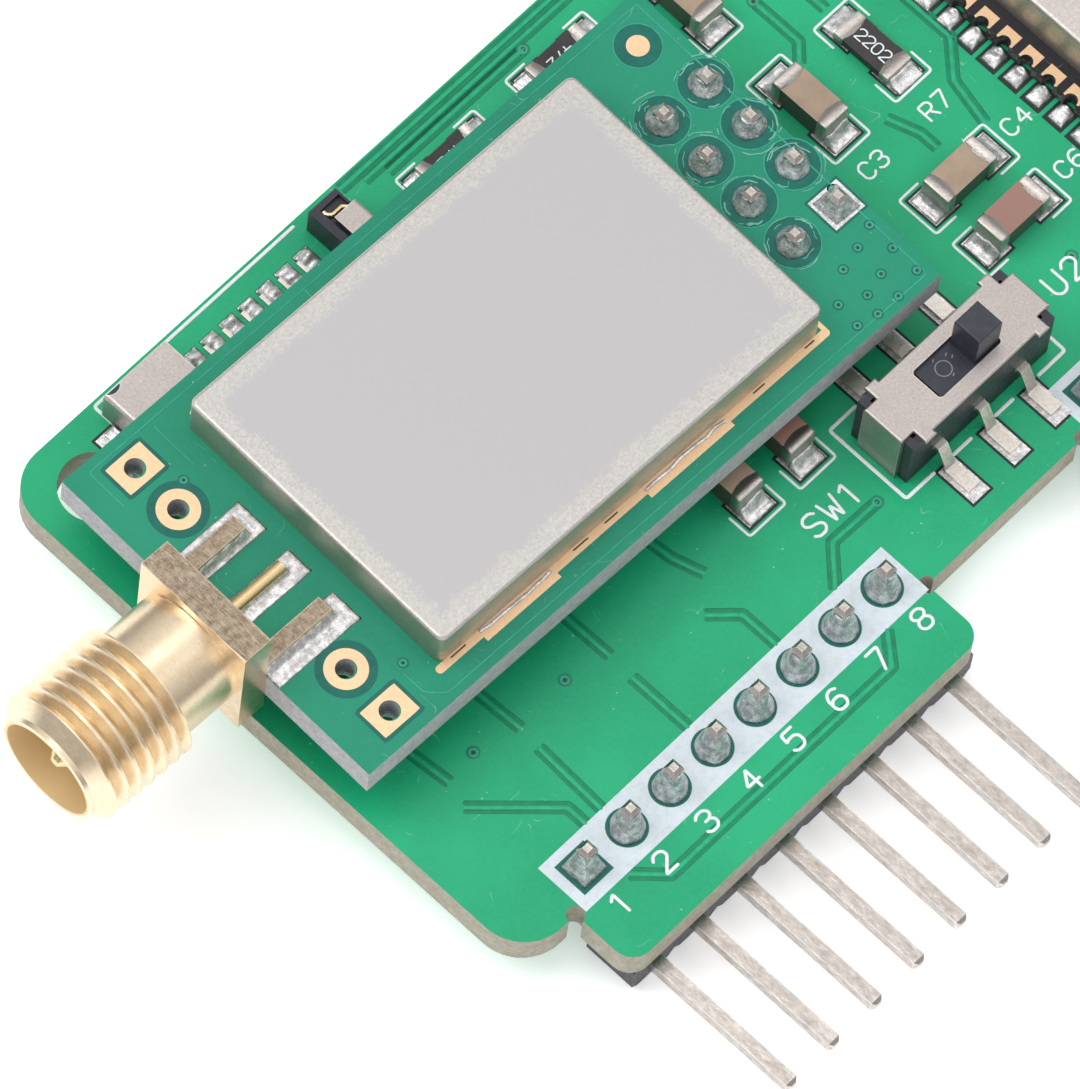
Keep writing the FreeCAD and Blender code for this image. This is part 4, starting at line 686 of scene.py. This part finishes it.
GLYPHS = {
    "0": [[(1, 0), (3, 0), (4, 1.2), (4, 4.8), (3, 6), (1, 6), (0, 4.8), (0, 1.2), (1, 0)]],
    "1": [[(0.6, 4.8), (2.2, 6), (2.2, 0)]],
    "2": [[(0, 4.8), (1, 6), (3, 6), (4, 5), (4, 3.8), (0, 0), (4, 0)]],
    "3": [[(0, 5.2), (1, 6), (3, 6), (4, 5), (4, 4), (3, 3.1), (1.6, 3.1)],
          [(3, 3.1), (4, 2.2), (4, 1), (3, 0), (1, 0), (0, 0.8)]],
    "4": [[(3, 0), (3, 6), (0, 2), (4.2, 2)]],
    "5": [[(4, 6), (0.4, 6), (0.1, 3.4), (1, 3.9), (3, 3.9), (4, 3), (4, 1), (3, 0), (1, 0), (0, 0.8)]],
    "6": [[(3.8, 5.4), (2.6, 6), (1, 5.6), (0, 4), (0, 1), (1, 0), (3, 0), (4, 1), (4, 2.4), (3, 3.4), (1, 3.4),
           (0, 2.4)]],
    "7": [[(0, 6), (4, 6), (1.2, 0)]],
    "8": [[(1, 3.2), (0, 4.2), (0, 5), (1, 6), (3, 6), (4, 5), (4, 4.2), (3, 3.2), (1, 3.2)],
          [(1, 3.2), (0, 2.2), (0, 1), (1, 0), (3, 0), (4, 1), (4, 2.2), (3, 3.2)]],
    "9": [[(0.2, 0.6), (1.4, 0), (3, 0.4), (4, 2), (4, 5), (3, 6), (1, 6), (0, 5), (0, 3.6), (1, 2.6), (3, 2.6),
           (4, 3.6)]],
    "C": [[(4, 4.9), (3, 6), (1.2, 6), (0, 4.8), (0, 1.2), (1.2, 0), (3, 0), (4, 1.1)]],
    "R": [[(0, 0), (0, 6), (3, 6), (4, 5), (4, 3.8), (3, 2.8), (0, 2.8)], [(2, 2.8), (4, 0)]],
    "S": [[(4, 5.2), (3, 6), (1, 6), (0, 5), (0, 4), (1, 3.2), (3, 2.8), (4, 2), (4, 1), (3, 0), (1, 0), (0, 0.8)]],
    "U": [[(0, 6), (0, 1.2), (1.2, 0), (2.8, 0), (4, 1.2), (4, 6)]],
    "W": [[(0, 6), (1, 0), (2.2, 4), (3.4, 0), (4.4, 6)]],
}


def write(bm, text, x, y, height, z, turn=0.0, width=0.2, advance=1.0):
    """Plain stroke letters; x, y is the middle of the text."""
    unit = height / 6
    step = 5.9 * unit * advance
    start = -(step * len(text) - 1.9 * unit) / 2
    spot = placed(x, y, turn)
    for index, letter in enumerate(text):
        for layer, line in enumerate(GLYPHS[letter]):
            path = [spot(start + index * step + gx * unit, (gy - 3) * unit) for gx, gy in line]
            ink(bm, path, width, z + layer * 0.002, corner=0.7 * unit)


# ---- main board print

# x, y, turn, then the length and width of the white outline of each chip part
CHIPS = [
    (33.55, -8.65, 90, 5.15, 2.15), (33.40, -1.60, 90, 5.05, 2.1), (35.70, -15.30, 0, 5.15, 2.15),
    (35.78, -18.20, 0, 5.1, 2.1), (18.58, -17.85, 90, 5.1, 2.16), (21.62, -17.85, 90, 5.1, 2.16),
    (37.50, -8.65, 90, 4.75, 2.2), (21.20, 0.05, 0, 4.7, 2.1), (27.80, 0.05, 0, 4.7, 2.1),
]
# the middle of each part itself, which isn't quite in the middle of its outline
CHIP_MIDDLES = [
    (33.55, -8.65), (33.40, -1.60), (35.50, -15.35), (35.75, -18.15), (18.55, -17.85),
    (21.65, -17.85), (37.45, -8.65), (21.20, 0.05), (27.80, 0.05),
]
CAPACITORS = 6  # the first six are capacitors, the rest resistors


def chip_outline(x, y, turn, length, width):
    """The white brackets round a chip part, one at each end."""
    spot = placed(x, y, turn)
    h = width / 2
    return [[spot(px, py) for px, py in ((side * (length / 2 - 1.15), -h), (side * length / 2, -h),
                                         (side * length / 2, h), (side * (length / 2 - 1.15), h))]
            for side in (-1, 1)]


def board_print():
    z = TOP + 0.006
    bm = bmesh.new()
    for x, y, turn, length, width in CHIPS:
        for line in chip_outline(x, y, math.radians(turn), length, width):
            ink(bm, line, 0.13, z, corner=0.16)
    lines = [
        ([(2.55, 1.55), (2.55, 2.58), (14.3, 2.58)], 0.17),
        ([(24.9, -19.4), (23.35, -19.4), (23.35, -23.75), (25.0, -23.75)], 0.18),
        ([(26.2, -23.75), (27.25, -23.75)], 0.18), ([(28.75, -23.75), (29.8, -23.75)], 0.18),
        ([(31.4, -23.75), (33.0, -23.75), (33.0, -21.9)], 0.18),
        ([(33.0, -20.2), (33.0, -19.4), (31.4, -19.4)], 0.18),
        ([(41.0, -1.85), (58.9, -1.85)], 0.16), ([(42.0, -21.95), (59.2, -21.95)], 0.16),
    ]
    for path, width in lines:
        ink(bm, path, width, z, corner=0.15)
    for first, step, count in ((1.82, 2.572, 8), (32.38, PITCH, 10)):
        for index in range(count):
            number = str(index + 1)
            advance = 1.0 if len(number) == 1 else 0.8
            write(bm, number, first + step * index, NUMBER_Y, 0.96, z, width=0.155, advance=advance)
    for text, x, y in (("C3", 33.6, -12.33), ("R7", 37.5, -12.24), ("C4", 39.35, -15.12), ("C6", 39.5, -18.03)):
        write(bm, text, x, y, 0.8, z, width=0.125)
    for text, x, y in (("SW1", 20.8, -21.9), ("U2", 35.5, -21.4)):
        write(bm, text, x, y, 1.05, z, width=0.15)
    add_piece("board_silk", bm, SILK)

    bm = bmesh.new()
    for x0, x1 in ((0.55, 21.0), (31.0, 56.6)):
        flat_fill(bm, [(x0, -27.2), (x1, -27.2), (x1, -24.5), (x0, -24.5)], TOP + 0.005)
    add_piece("header_panels", bm, SILK_PANEL, smooth=False)


board_print()

TRACKS = [
    [(14.31, -16.9), (14.5, -18.8), (14.93, -20.17)], [(9.45, -16.9), (9.5, -20.0)], [(9.45, -21.4), (9.45, -24.45)],
    [(4.45, -20.9), (4.3, -24.45)], [(13.64, -21.55), (14.72, -22.6), (14.72, -24.45)],
    [(0.4, -20.55), (3.36, -23.5), (3.36, -24.45)], [(22.38, -23.0), (19.73, -22.95), (18.3, -24.45)],
    [(18.42, -27.25), (17.36, -28.5), (4.2, -28.5), (3.04, -27.3)], [(4.4, -16.7), (4.55, -19.66)],
    [(0.5, -16.7), (0.75, -19.3)],
    [(17.0, 2.42), (44.5, 2.42)], [(18.0, 2.02), (42.0, 2.02), (43.6, 0.4)], [(19.0, 1.6), (27.08, 1.6)],
    [(35.6, -3.8), (35.6, -6.2), (34.9, -6.9)], [(37.5, -5.9), (37.5, -3.2), (39.0, -1.7), (39.0, 1.5)],
    [(35.6, -11.3), (36.1, -12.7), (36.1, -13.6)], [(40.3, -6.8), (40.3, -10.5), (38.9, -12.0), (38.4, -14.2)],
    [(52.0, -24.45), (48.2, -22.3)],
    [(45.5, -26.0), (45.5, -24.0), (46.9, -22.5)],
]


def board_tracks():
    """A copper track shows as a raised light line with a sunk dark line along each side."""
    gaps, ridges = bmesh.new(), bmesh.new()
    for path in TRACKS:
        for side in (-1, 1):
            ink(gaps, shifted(path, side * 0.21), 0.17, TOP + 0.002, 0.002, corner=0.1)
        ink(ridges, path, 0.2, TOP + 0.001, 0.012, corner=0.1)
    add_piece("board_track_gaps", gaps, GAP)
    add_piece("board_track_ridges", ridges, RIDGE)


board_tracks()


def vias():
    rings, board_rings, ridges, holes = bmesh.new(), bmesh.new(), bmesh.new(), bmesh.new()
    spots = [(x, y, TOP, 0.3) for x, y in (
        (22.38, -23.0), (27.08, 1.6), (35.6, -3.6), (2.4, -19.1), (7.4, -19.5), (48.7, 1.6), (58.2, -4.0),
        (57.6, -22.8), (43.7, 0.3), (36.4, -21.0))]
    spots += [(*on_radio(u, v), RADIO_TOP, 0.24) for u, v in (
        (0.35, -9.2), (-0.75, -9.6), (-1.9, -9.9), (0.3, -10.6), (-0.9, -11.1), (-2.0, -11.4), (0.3, -12.0),
        (-1.1, -12.3), (-3.2, -10.9), (-3.3, -12.1), (-2.3, -12.3), (0.4, -7.0), (-28.4, 1.7), (-27.6, -10.2))]
    for x, y, z, radius in spots:
        flat_ring(rings if z > TOP else board_rings, x, y, radius, radius * 0.6, z + 0.009, 20)
        ink(ridges, circle(x, y, radius * 0.55, 12), radius * 0.4, z + 0.004, 0.014, closed=True)
        # painted shade: a near-black disc in each via's hole
        disc(holes, x, y, radius * 0.28, z + 0.012, 12)
    add_piece("via_rings", rings, GAP_RADIO, smooth=False)
    add_piece("board_via_rings", board_rings, GAP, smooth=False)
    add_piece("via_ridges", ridges, RIDGE_RADIO)
    add_piece("via_holes", holes, HOLE_SHADE, smooth=False)


vias()

# ---- pads and solder


def pads():
    """Bare pads round the parts, each with a dark sunk rim."""
    rims, faces = bmesh.new(), bmesh.new()

    def pad(x, y, length, width, turn=0.0, rim=0.12):
        spot = placed(x, y, turn)
        for bm, grow, lift in ((rims, rim, 0.003), (faces, 0.0, 0.010)):
            corners = rectangle(length / 2 + grow, width / 2 + grow)
            flat_fill(bm, [spot(px, py) for px, py in corners], TOP + lift)

    for x, y, turn, length, width in CHIPS:
        turn = math.radians(turn)
        for side in (-1, 1):
            reach = side * (length / 2 - 0.98)
            pad(x + math.cos(turn) * reach, y + math.sin(turn) * reach, 1.4, 1.6, turn)
    for index in range(TAILS):
        pad(TAIL_X - TAIL_STEP * index, TAIL_Y, 0.78, 1.3, rim=0.035)
    pad(2.0, 0.98, 1.1, 0.95)
    for index in range(3):
        for side in (-1, 1):
            pad(SWITCH[0] + (index - 1) * 2.5, SWITCH[1] + side * 3.15, 1.0, 2.0)
    for x, y in BUTTONS:
        for sx in (-1, 1):
            for sy in (-1, 1):
                pad(x + sx * 2.5, y + sy * 1.07, 1.1, 0.95)
    add_piece("pad_rims", rims, GAP_DARK, smooth=False)
    add_piece("pad_faces", faces, SOLDER_PAD, smooth=False)


pads()


def joint(bm, x, y, z, radius, top, rise, seed, square=False, turn=0.0):
    """A solder joint: a slightly lumpy bell wetted up round its pin."""
    rng = random.Random(seed)
    phase = [rng.uniform(0, 6.28) for _ in range(4)]
    lean = rng.uniform(-0.05, 0.05), rng.uniform(-0.05, 0.05)
    steps, levels = 40, 14
    rings = []
    for level in range(levels + 1):
        t = level / levels
        belly = (1 - t) ** 1.5 * 0.72 + (1 - t) * 0.28
        if t < 0.12:
            belly *= 0.94 + 0.5 * t
        ring = []
        for k in range(steps):
            a = 2 * math.pi * k / steps
            lump = 1 + 0.05 * math.sin(2 * a + phase[0]) * (1 - t)
            lump += 0.035 * math.sin(3 * a + phase[1] + 4 * t)
            lump += 0.03 * math.sin(7 * a + phase[2] + 6 * t)
            r = top / 2 + (radius - top / 2) * belly * lump
            px, py = math.cos(a) * r, math.sin(a) * r
            if square:
                edge = 1 / max(abs(math.cos(a)), abs(math.sin(a)))
                blend = (1 - t) ** 2.2
                px, py = px * (1 + (edge - 1) * blend), py * (1 + (edge - 1) * blend)
                px, py = placed(0, 0, turn)(px, py)
            height = rise * t ** 0.9 + 0.07 * math.sin(a + phase[3]) * t * (1 if rise > 0 else -1)
            ring.append(vertex(bm, x + px + lean[0] * t, y + py + lean[1] * t, z + height))
        rings.append(ring)
    for low, high in zip(rings, rings[1:]):
        for k in range(steps):
            bm.faces.new((low[k], low[(k + 1) % steps], high[(k + 1) % steps], high[k]))
    bm.faces.new(rings[-1])
    bm.faces.new(list(reversed(rings[0])))


def header_solder():
    for name, first, count in HEADERS:
        bm, rim = bmesh.new(), bmesh.new()
        for index in range(count):
            x = first + PITCH * index
            square = index == 0
            joint(bm, x, PIN_Y, TOP, 0.7 if square else 0.81, 0.72, 1.6, 11 * count + index, square)
            flat_ring(rim, x, PIN_Y, 0.9, 0.5, TOP + 0.011, 40, (0.86, 0.86, 0.0) if square else None)
        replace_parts(add_piece(name + "_joints", bm, SOLDER), name)
        add_piece(name + "_rims", rim, GAP_RADIO, smooth=False)


header_solder()


def radio_solder():
    bm, rim, flux, ridge, square_pad = (bmesh.new() for _ in range(5))
    for column in range(2):
        for row in range(4):
            x, y = on_radio(-PITCH * column, -PITCH * row)
            square = column == 0 and row == 3
            seed = 50 + 4 * column + row
            joint(bm, x, y, RADIO_TOP, 0.72 if square else 0.78, 0.76, 0.72, seed, square, RADIO_TURN)
            joint(bm, x, y, 0.0, 0.8, 0.74, -0.62, seed + 20)
            if square:
                flat_ring(rim, x, y, 1.0, 0.5, RADIO_TOP + 0.005, 40, (0.95, 0.95, RADIO_TURN))
                flat_ring(square_pad, x, y, 1.0, 0.5, RADIO_TOP + 0.009, 40, (0.84, 0.84, RADIO_TURN))
                continue
            flat_ring(rim, x, y, 1.16, 0.5, RADIO_TOP + 0.005)
            ink(ridge, circle(x, y, 1.2, 24), 0.07, RADIO_TOP + 0.004, 0.01, closed=True)
            rng = random.Random(seed)
            for _ in range(9):
                start = rng.uniform(0, 6.28)
                reach = rng.uniform(0.86, 1.4)
                arc = []
                for k in range(rng.randint(2, 5)):
                    r = reach + rng.uniform(-0.05, 0.05)
                    arc.append((x + r * math.cos(start + k * 0.19), y + r * math.sin(start + k * 0.19)))
                ink(flux, arc, rng.uniform(0.03, 0.08), RADIO_TOP + 0.008, 0.008)
    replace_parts(add_piece("radio_joints", bm, SOLDER), "radio_header_solder")
    add_piece("radio_joint_rims", rim, GAP_RADIO, smooth=False)
    add_piece("radio_joint_ridges", ridge, RIDGE_RADIO)
    add_piece("flux_smears", flux, FLUX)
    add_piece("radio_square_pad", square_pad, SOLDER_PAD, smooth=False)


radio_solder()


def solder_field(bm, spot, x0, x1, y0, y1, z, height, seed, across=14, along=22):
    """Uneven solder over a pad: height(px, py) is its rise above z, nothing at its edge."""
    rows = []
    for i in range(along + 1):
        row = []
        for j in range(across + 1):
            px = x0 + (x1 - x0) * i / along
            py = y0 + (y1 - y0) * j / across
            edge = min(px - x0, x1 - px, py - y0, y1 - py)
            swell = min(1.0, max(edge, 0.0) / 0.16)
            ripple = noise.noise(Vector((px * 2.4, py * 2.4, seed)))
            fray = 0.045 * noise.noise(Vector((px * 3, py * 3, seed + 9)))
            rise = (height(px, py) * (1 + 0.35 * ripple) + 0.02 * ripple) * swell ** 0.6
            out = 0 if edge > 1e-6 else 1
            x, y = spot(px + fray * out, py + fray * out)
            row.append(vertex(bm, x, y, z + max(rise, 0.0)))
        rows.append(row)
    for a, b in zip(rows, rows[1:]):
        for j in range(across):
            bm.faces.new((a[j], b[j], b[j + 1], a[j + 1]))
    # the underside closes it, round all four edges
    ends = [row[-1] for row in rows[1:]] + rows[-1][-2::-1]
    bm.faces.new(rows[0] + ends + [row[0] for row in rows[-2:0:-1]])


def chip_solder():
    """A fillet of solder that climbs each end of each chip part."""
    bm = bmesh.new()
    for index, (x, y, turn, _, _) in enumerate(CHIPS):
        peak = 0.75 if index < CAPACITORS else 0.34
        for half in (0, 1):
            spot = placed(x, y, math.radians(turn + 180 * half))

            def height(px, py):
                climb = max(0.0, 1 - (px - 1.5) / 0.55) ** 2
                return 0.1 + peak * climb * (1 - 0.25 * (py / 0.8) ** 4)

            solder_field(bm, spot, 1.45, 2.28, -0.78, 0.78, TOP, height, index * 2 + half, 12, 14)
    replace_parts(add_piece("chip_joints", bm, SOLDER_PAD), "chip_solder")


chip_solder()


def chip_ends():
    """Plated ends of the chip parts: rounded, with a bulging edge over the body."""
    for node, indices, height, slim in (
            ("capacitor_end_caps", range(CAPACITORS), 1.35, 0.12),
            ("resistor_end_caps", range(CAPACITORS, len(CHIPS)), 0.55, 0.05)):
        bm = bmesh.new()
        for index in indices:
            for half in (0, 1):
                spot = placed(*CHIP_MIDDLES[index], math.radians(CHIPS[index][2] + 180 * half))
                part = bmesh.new()
                bmesh.ops.create_cube(part, size=1)
                for v in part.verts:
                    x, y, z = v.co
                    v.co = Vector((1.05 + 0.5 * (x + 0.5), 1.5 * y, height * (z + 0.5)))
                outer = [e for e in part.edges if all(v.co.x > 1.3 for v in e.verts)]
                lengthwise = [e for e in part.edges
                              if abs(e.verts[0].co.x - e.verts[1].co.x) > 0.1]
                bmesh.ops.bevel(part, geom=outer + lengthwise, offset=slim, segments=3,
                                profile=0.5, affect="EDGES")
                start = Vector((index * 3.1, half * 5.7, 0))
                lookup = {}
                for v in part.verts:
                    wobble = 0.012 * noise.noise(v.co * 4 + start)
                    px, py = spot(v.co.x + wobble, v.co.y + wobble)
                    lookup[v] = vertex(bm, px, py, TOP + v.co.z + wobble * 0.5)
                for f in part.faces:
                    bm.faces.new([lookup[v] for v in f.verts])
                part.free()
                bulge = [(1.05 - 0.13 * (1 - (w / 5) ** 2), 0.66 * w / 5) for w in range(-5, 6)]
                tongue = [(1.1, -0.66), *bulge, (1.1, 0.66)]
                flat_fill(bm, [spot(px, py) for px, py in reversed(tongue)], TOP + height - 0.012)
        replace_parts(add_piece(node + "_plated", bm, TERMINATION), node)


chip_ends()


def resistor_codes():
    """A made-up code on each resistor."""
    bm = bmesh.new()
    for index, text in ((6, "2202"), (7, "472"), (8, "472")):
        x, y = CHIP_MIDDLES[index]
        turn = math.radians(CHIPS[index][2] + 180)
        write(bm, text, x, y, 0.55, TOP + 0.555, turn, 0.075, 0.86)
    add_piece("resistor_codes", bm, SILK)


resistor_codes()


def antenna_solder():
    """Solder on the connector's pads, drawn up against its legs."""
    bm = bmesh.new()
    spot = placed(*ANTENNA, RADIO_TURN)
    # the middle of each pad, its width, then the middle and half width of the leg that stands on it
    for index, (offset, width, middle, leg, tall) in enumerate((
            (-2.91, 1.66, -2.48, 0.375, 0.5), (2.56, 1.67, 2.48, 0.375, 0.5), (-0.19, 1.36, 0.0, 0.16, 0.3))):

        def height(px, py):
            gap = math.hypot(max(0.0, px - 3.75), max(0.0, abs(py - middle) - leg))
            return 0.05 + tall * max(0.0, 1 - gap / 0.28) ** 2

        solder_field(bm, spot, 0.02, 4.65, offset - width / 2, offset + width / 2,
                     RADIO_TOP, height, 70 + index, 22, 44)
    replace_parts(add_piece("antenna_joints", bm, SOLDER_PAD), "sma_solder")


antenna_solder()


def socket_solder():
    """Solder over the card socket's tails, and beside the four tabs of its shell."""
    bm = bmesh.new()
    for index in range(TAILS):
        spot = placed(TAIL_X - TAIL_STEP * index, TAIL_Y, 0)

        def height(px, py):
            return 0.24 + 0.1 * math.cos(px * 5.5) + 0.09 * math.sin(py * 9 + index)

        solder_field(bm, spot, -0.4, 0.4, -0.56, 0.64, TOP, height, 90 + index, 12, 12)
    for x, y, turn in ((2.5, 0.95, 180), (16.4, 0.95, 0), (2.5, -11.7, 180), (16.4, -11.7, 0)):

        def bank(px, py):
            return 0.08 + 0.42 * max(0.0, 1 - px / 0.45) ** 2

        spot = placed(x, y, math.radians(turn))
        solder_field(bm, spot, 0.0, 0.62, -0.5, 0.5, TOP, bank, x + y, 10, 10)
    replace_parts(add_piece("socket_joints", bm, SOLDER_PAD), "sd_solder")


socket_solder()


def wifi_solder():
    """Gold half pads on the module, a grey neck in each half hole and a bright blob outside it."""
    bm, gold, rims = bmesh.new(), bmesh.new(), bmesh.new()
    width = 0.42
    spots = [(MODULE_EDGE, MODULE_Y + (index - 4.5) * MODULE_STEP, 180) for index in range(10)]
    spots += [(MODULE_EDGE + 1.5 + MODULE_STEP * index, MODULE_Y + side * 9.0, side * 90)
              for index in range(14) for side in (-1, 1)]
    for index, (x, y, turn) in enumerate(spots):
        spot = placed(x, y, math.radians(turn))

        def height(px, py):
            neck = 0.72 * max(0.0, 1 - px / 0.3) ** 1.5 * max(0.0, 1 - (py / 0.3) ** 2)
            return neck + 0.22 * max(0.0, 1 - ((px - 0.45) / 0.5) ** 2) + 0.03

        solder_field(bm, spot, 0.0, 0.92, -width, width, TOP, height, 110 + index, 12, 14)
        rim = rectangle(0.62, width + 0.12)
        flat_fill(rims, [spot(px + 0.47, py) for px, py in rim], TOP + 0.003)
        # the gold half pad: an arc round the half hole, and a square back
        turns = [math.radians(k * 18 - 90) for k in range(11)]
        inner = [(-0.32 * math.cos(a), 0.32 * math.sin(a)) for a in turns]
        outer = [(-0.7, 0.43 * max(-1, min(1, math.tan(a) * 1.4))) for a in turns]
        outer[0], outer[-1] = (-0.02, -0.43), (-0.02, 0.43)
        flat_fill(gold, [spot(px, py) for px, py in reversed(outer + inner[::-1])],
                  MODULE_TOP + 0.008)
    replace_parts(add_piece("module_joints", bm, SOLDER_PAD), "wifi_solder")
    add_piece("module_pads", gold, GOLD_PAD, smooth=False)
    add_piece("module_pad_rims", rims, GAP_DARK, smooth=False)


wifi_solder()

# ---- radio board


def radio_details():
    """Gold, keep-outs and raised tracks on the radio board, most of them round its can."""
    z = RADIO_TOP
    gold, rims, ridge, slots, streaks = (bmesh.new() for _ in range(5))
    for v, square in ((3.42, True), (0.90, False), (-8.83, False), (-11.35, True)):
        x, y = on_radio(-29.48, v)
        if square:
            flat_ring(gold, x, y, 1.0, 0.46, z + 0.01, 48, (0.97, 0.76, RADIO_TURN))
            flat_ring(rims, x, y, 1.0, 0.46, z + 0.005, 48, (1.14, 0.94, RADIO_TURN))
        else:
            flat_ring(gold, x, y, 0.93, 0.46, z + 0.01, 48)
            flat_ring(rims, x, y, 1.3, 0.46, z + 0.005, 48)
    x, y = on_radio(-0.82, 3.14)
    disc(gold, x, y, 0.5, z + 0.01, 36)
    flat_ring(rims, x, y, 1.0, 0.5, z + 0.005)
    ink(ridge, circle(x, y, 1.04, 24), 0.06, z + 0.003, 0.01, closed=True)
    # the can's land: a gold strip along its front wall, stepped out where the can is soldered down
    front = -11.24
    strips = [(-26.7, -4.5, -11.62), (-24.4, -20.2, -11.86), (-15.0, -10.2, -11.86)]
    for start, end, reach in strips:
        corners = ((start, reach), (end, reach), (end, front), (start, front))
        lift = 0.008 if reach > -11.7 else 0.011
        flat_fill(gold, [on_radio(*p) for p in corners], z + lift)
    for u, v in ((-4.5, -11.43), (-26.7, -11.43)):
        disc(gold, *on_radio(u, v), 0.19, z + 0.009)
    ink(gold, [on_radio(-4.42, -11.4), on_radio(-4.42, -10.6)], 0.22, z + 0.004, 0.006)
    ink(gold, [on_radio(-26.0, 3.6), on_radio(-5.2, 3.6)], 0.3, z + 0.004, 0.006)
    # painted shade: dark lines where the slots along the can's front are
    for start, end in ((-26.0, -25.2), (-19.0, -18.2), (-17.2, -16.5), (-8.6, -8.0), (-5.6, -5.1)):
        ink(slots, [on_radio(start, -11.36), on_radio(end, -11.36)], 0.07, z + 0.011, 0.004)
    for start, end in ((-24.3, -20.4), (-14.9, -10.4)):
        rng = random.Random(int(start * 10))
        path = [on_radio(start + (end - start) * k / 9, -11.4 + rng.uniform(-0.06, 0.06))
                for k in range(10)]
        ink(streaks, path, 0.17, z + 0.012, 0.05)
    add_piece("radio_gold", gold, GOLD_PAD, smooth=False)
    add_piece("radio_keepouts", rims, GAP_RADIO, smooth=False)
    add_piece("radio_slots", slots, HOLE_SHADE)
    add_piece("can_solder_streaks", streaks, SOLDER_PAD)
    # the ground copper ends just inside the board's edge
    outline = [(0.5, 4.55), (0.5, -12.38), (-27.2, -12.38), (-27.9, -11.7), (-27.9, -10.6)]
    ink(ridge, [on_radio(*p) for p in outline], 0.08, z + 0.002, 0.008, corner=0.2)
    for line in ([(0.5, 4.55), (-31.0, 4.55), (-31.0, 2.5)], [(-27.6, 4.2), (-27.6, 1.9)],
                 [(-27.2, -1.0), (-27.9, -1.6), (-31.6, -1.6)], [(-27.4, -6.3), (-31.6, -6.3)]):
        ink(ridge, [on_radio(*p) for p in line], 0.07, z + 0.002, 0.008, corner=0.2)
    rng = random.Random(7)
    for _ in range(26):
        u = rng.uniform(-27, 0.5)
        v = rng.choice((rng.uniform(3.8, 4.5), rng.uniform(-12.3, -11.9)))
        if -4.3 < u:
            v = rng.uniform(-12.3, 4.4)
        a = rng.uniform(0, 6.28)
        length = rng.uniform(0.1, 0.5)
        end = on_radio(u + length * math.cos(a), v + length * math.sin(a))
        ink(ridge, [on_radio(u, v), end], 0.04, z + 0.002, 0.006)
    add_piece("radio_ridges", ridge, RIDGE_RADIO)


radio_details()


def lever_mark():
    """The ejector ring and moulding flecks on the slider's plate."""
    bm = bmesh.new()
    x, y, z = EJECTOR_MARK
    ink(bm, circle(x, y, 0.36, 24), 0.06, z, 0.02, closed=True)
    for dx, dy in ((0.5, 0.35), (0.62, 0.1), (-0.1, 0.52), (0.05, -0.5)):
        ink(bm, [(x + dx, y + dy), (x + dx + 0.09, y + dy + 0.05)], 0.07, z, 0.02)
    add_piece("lever_mark", bm, LEVER_MARK, body="switch_slider")


lever_mark()
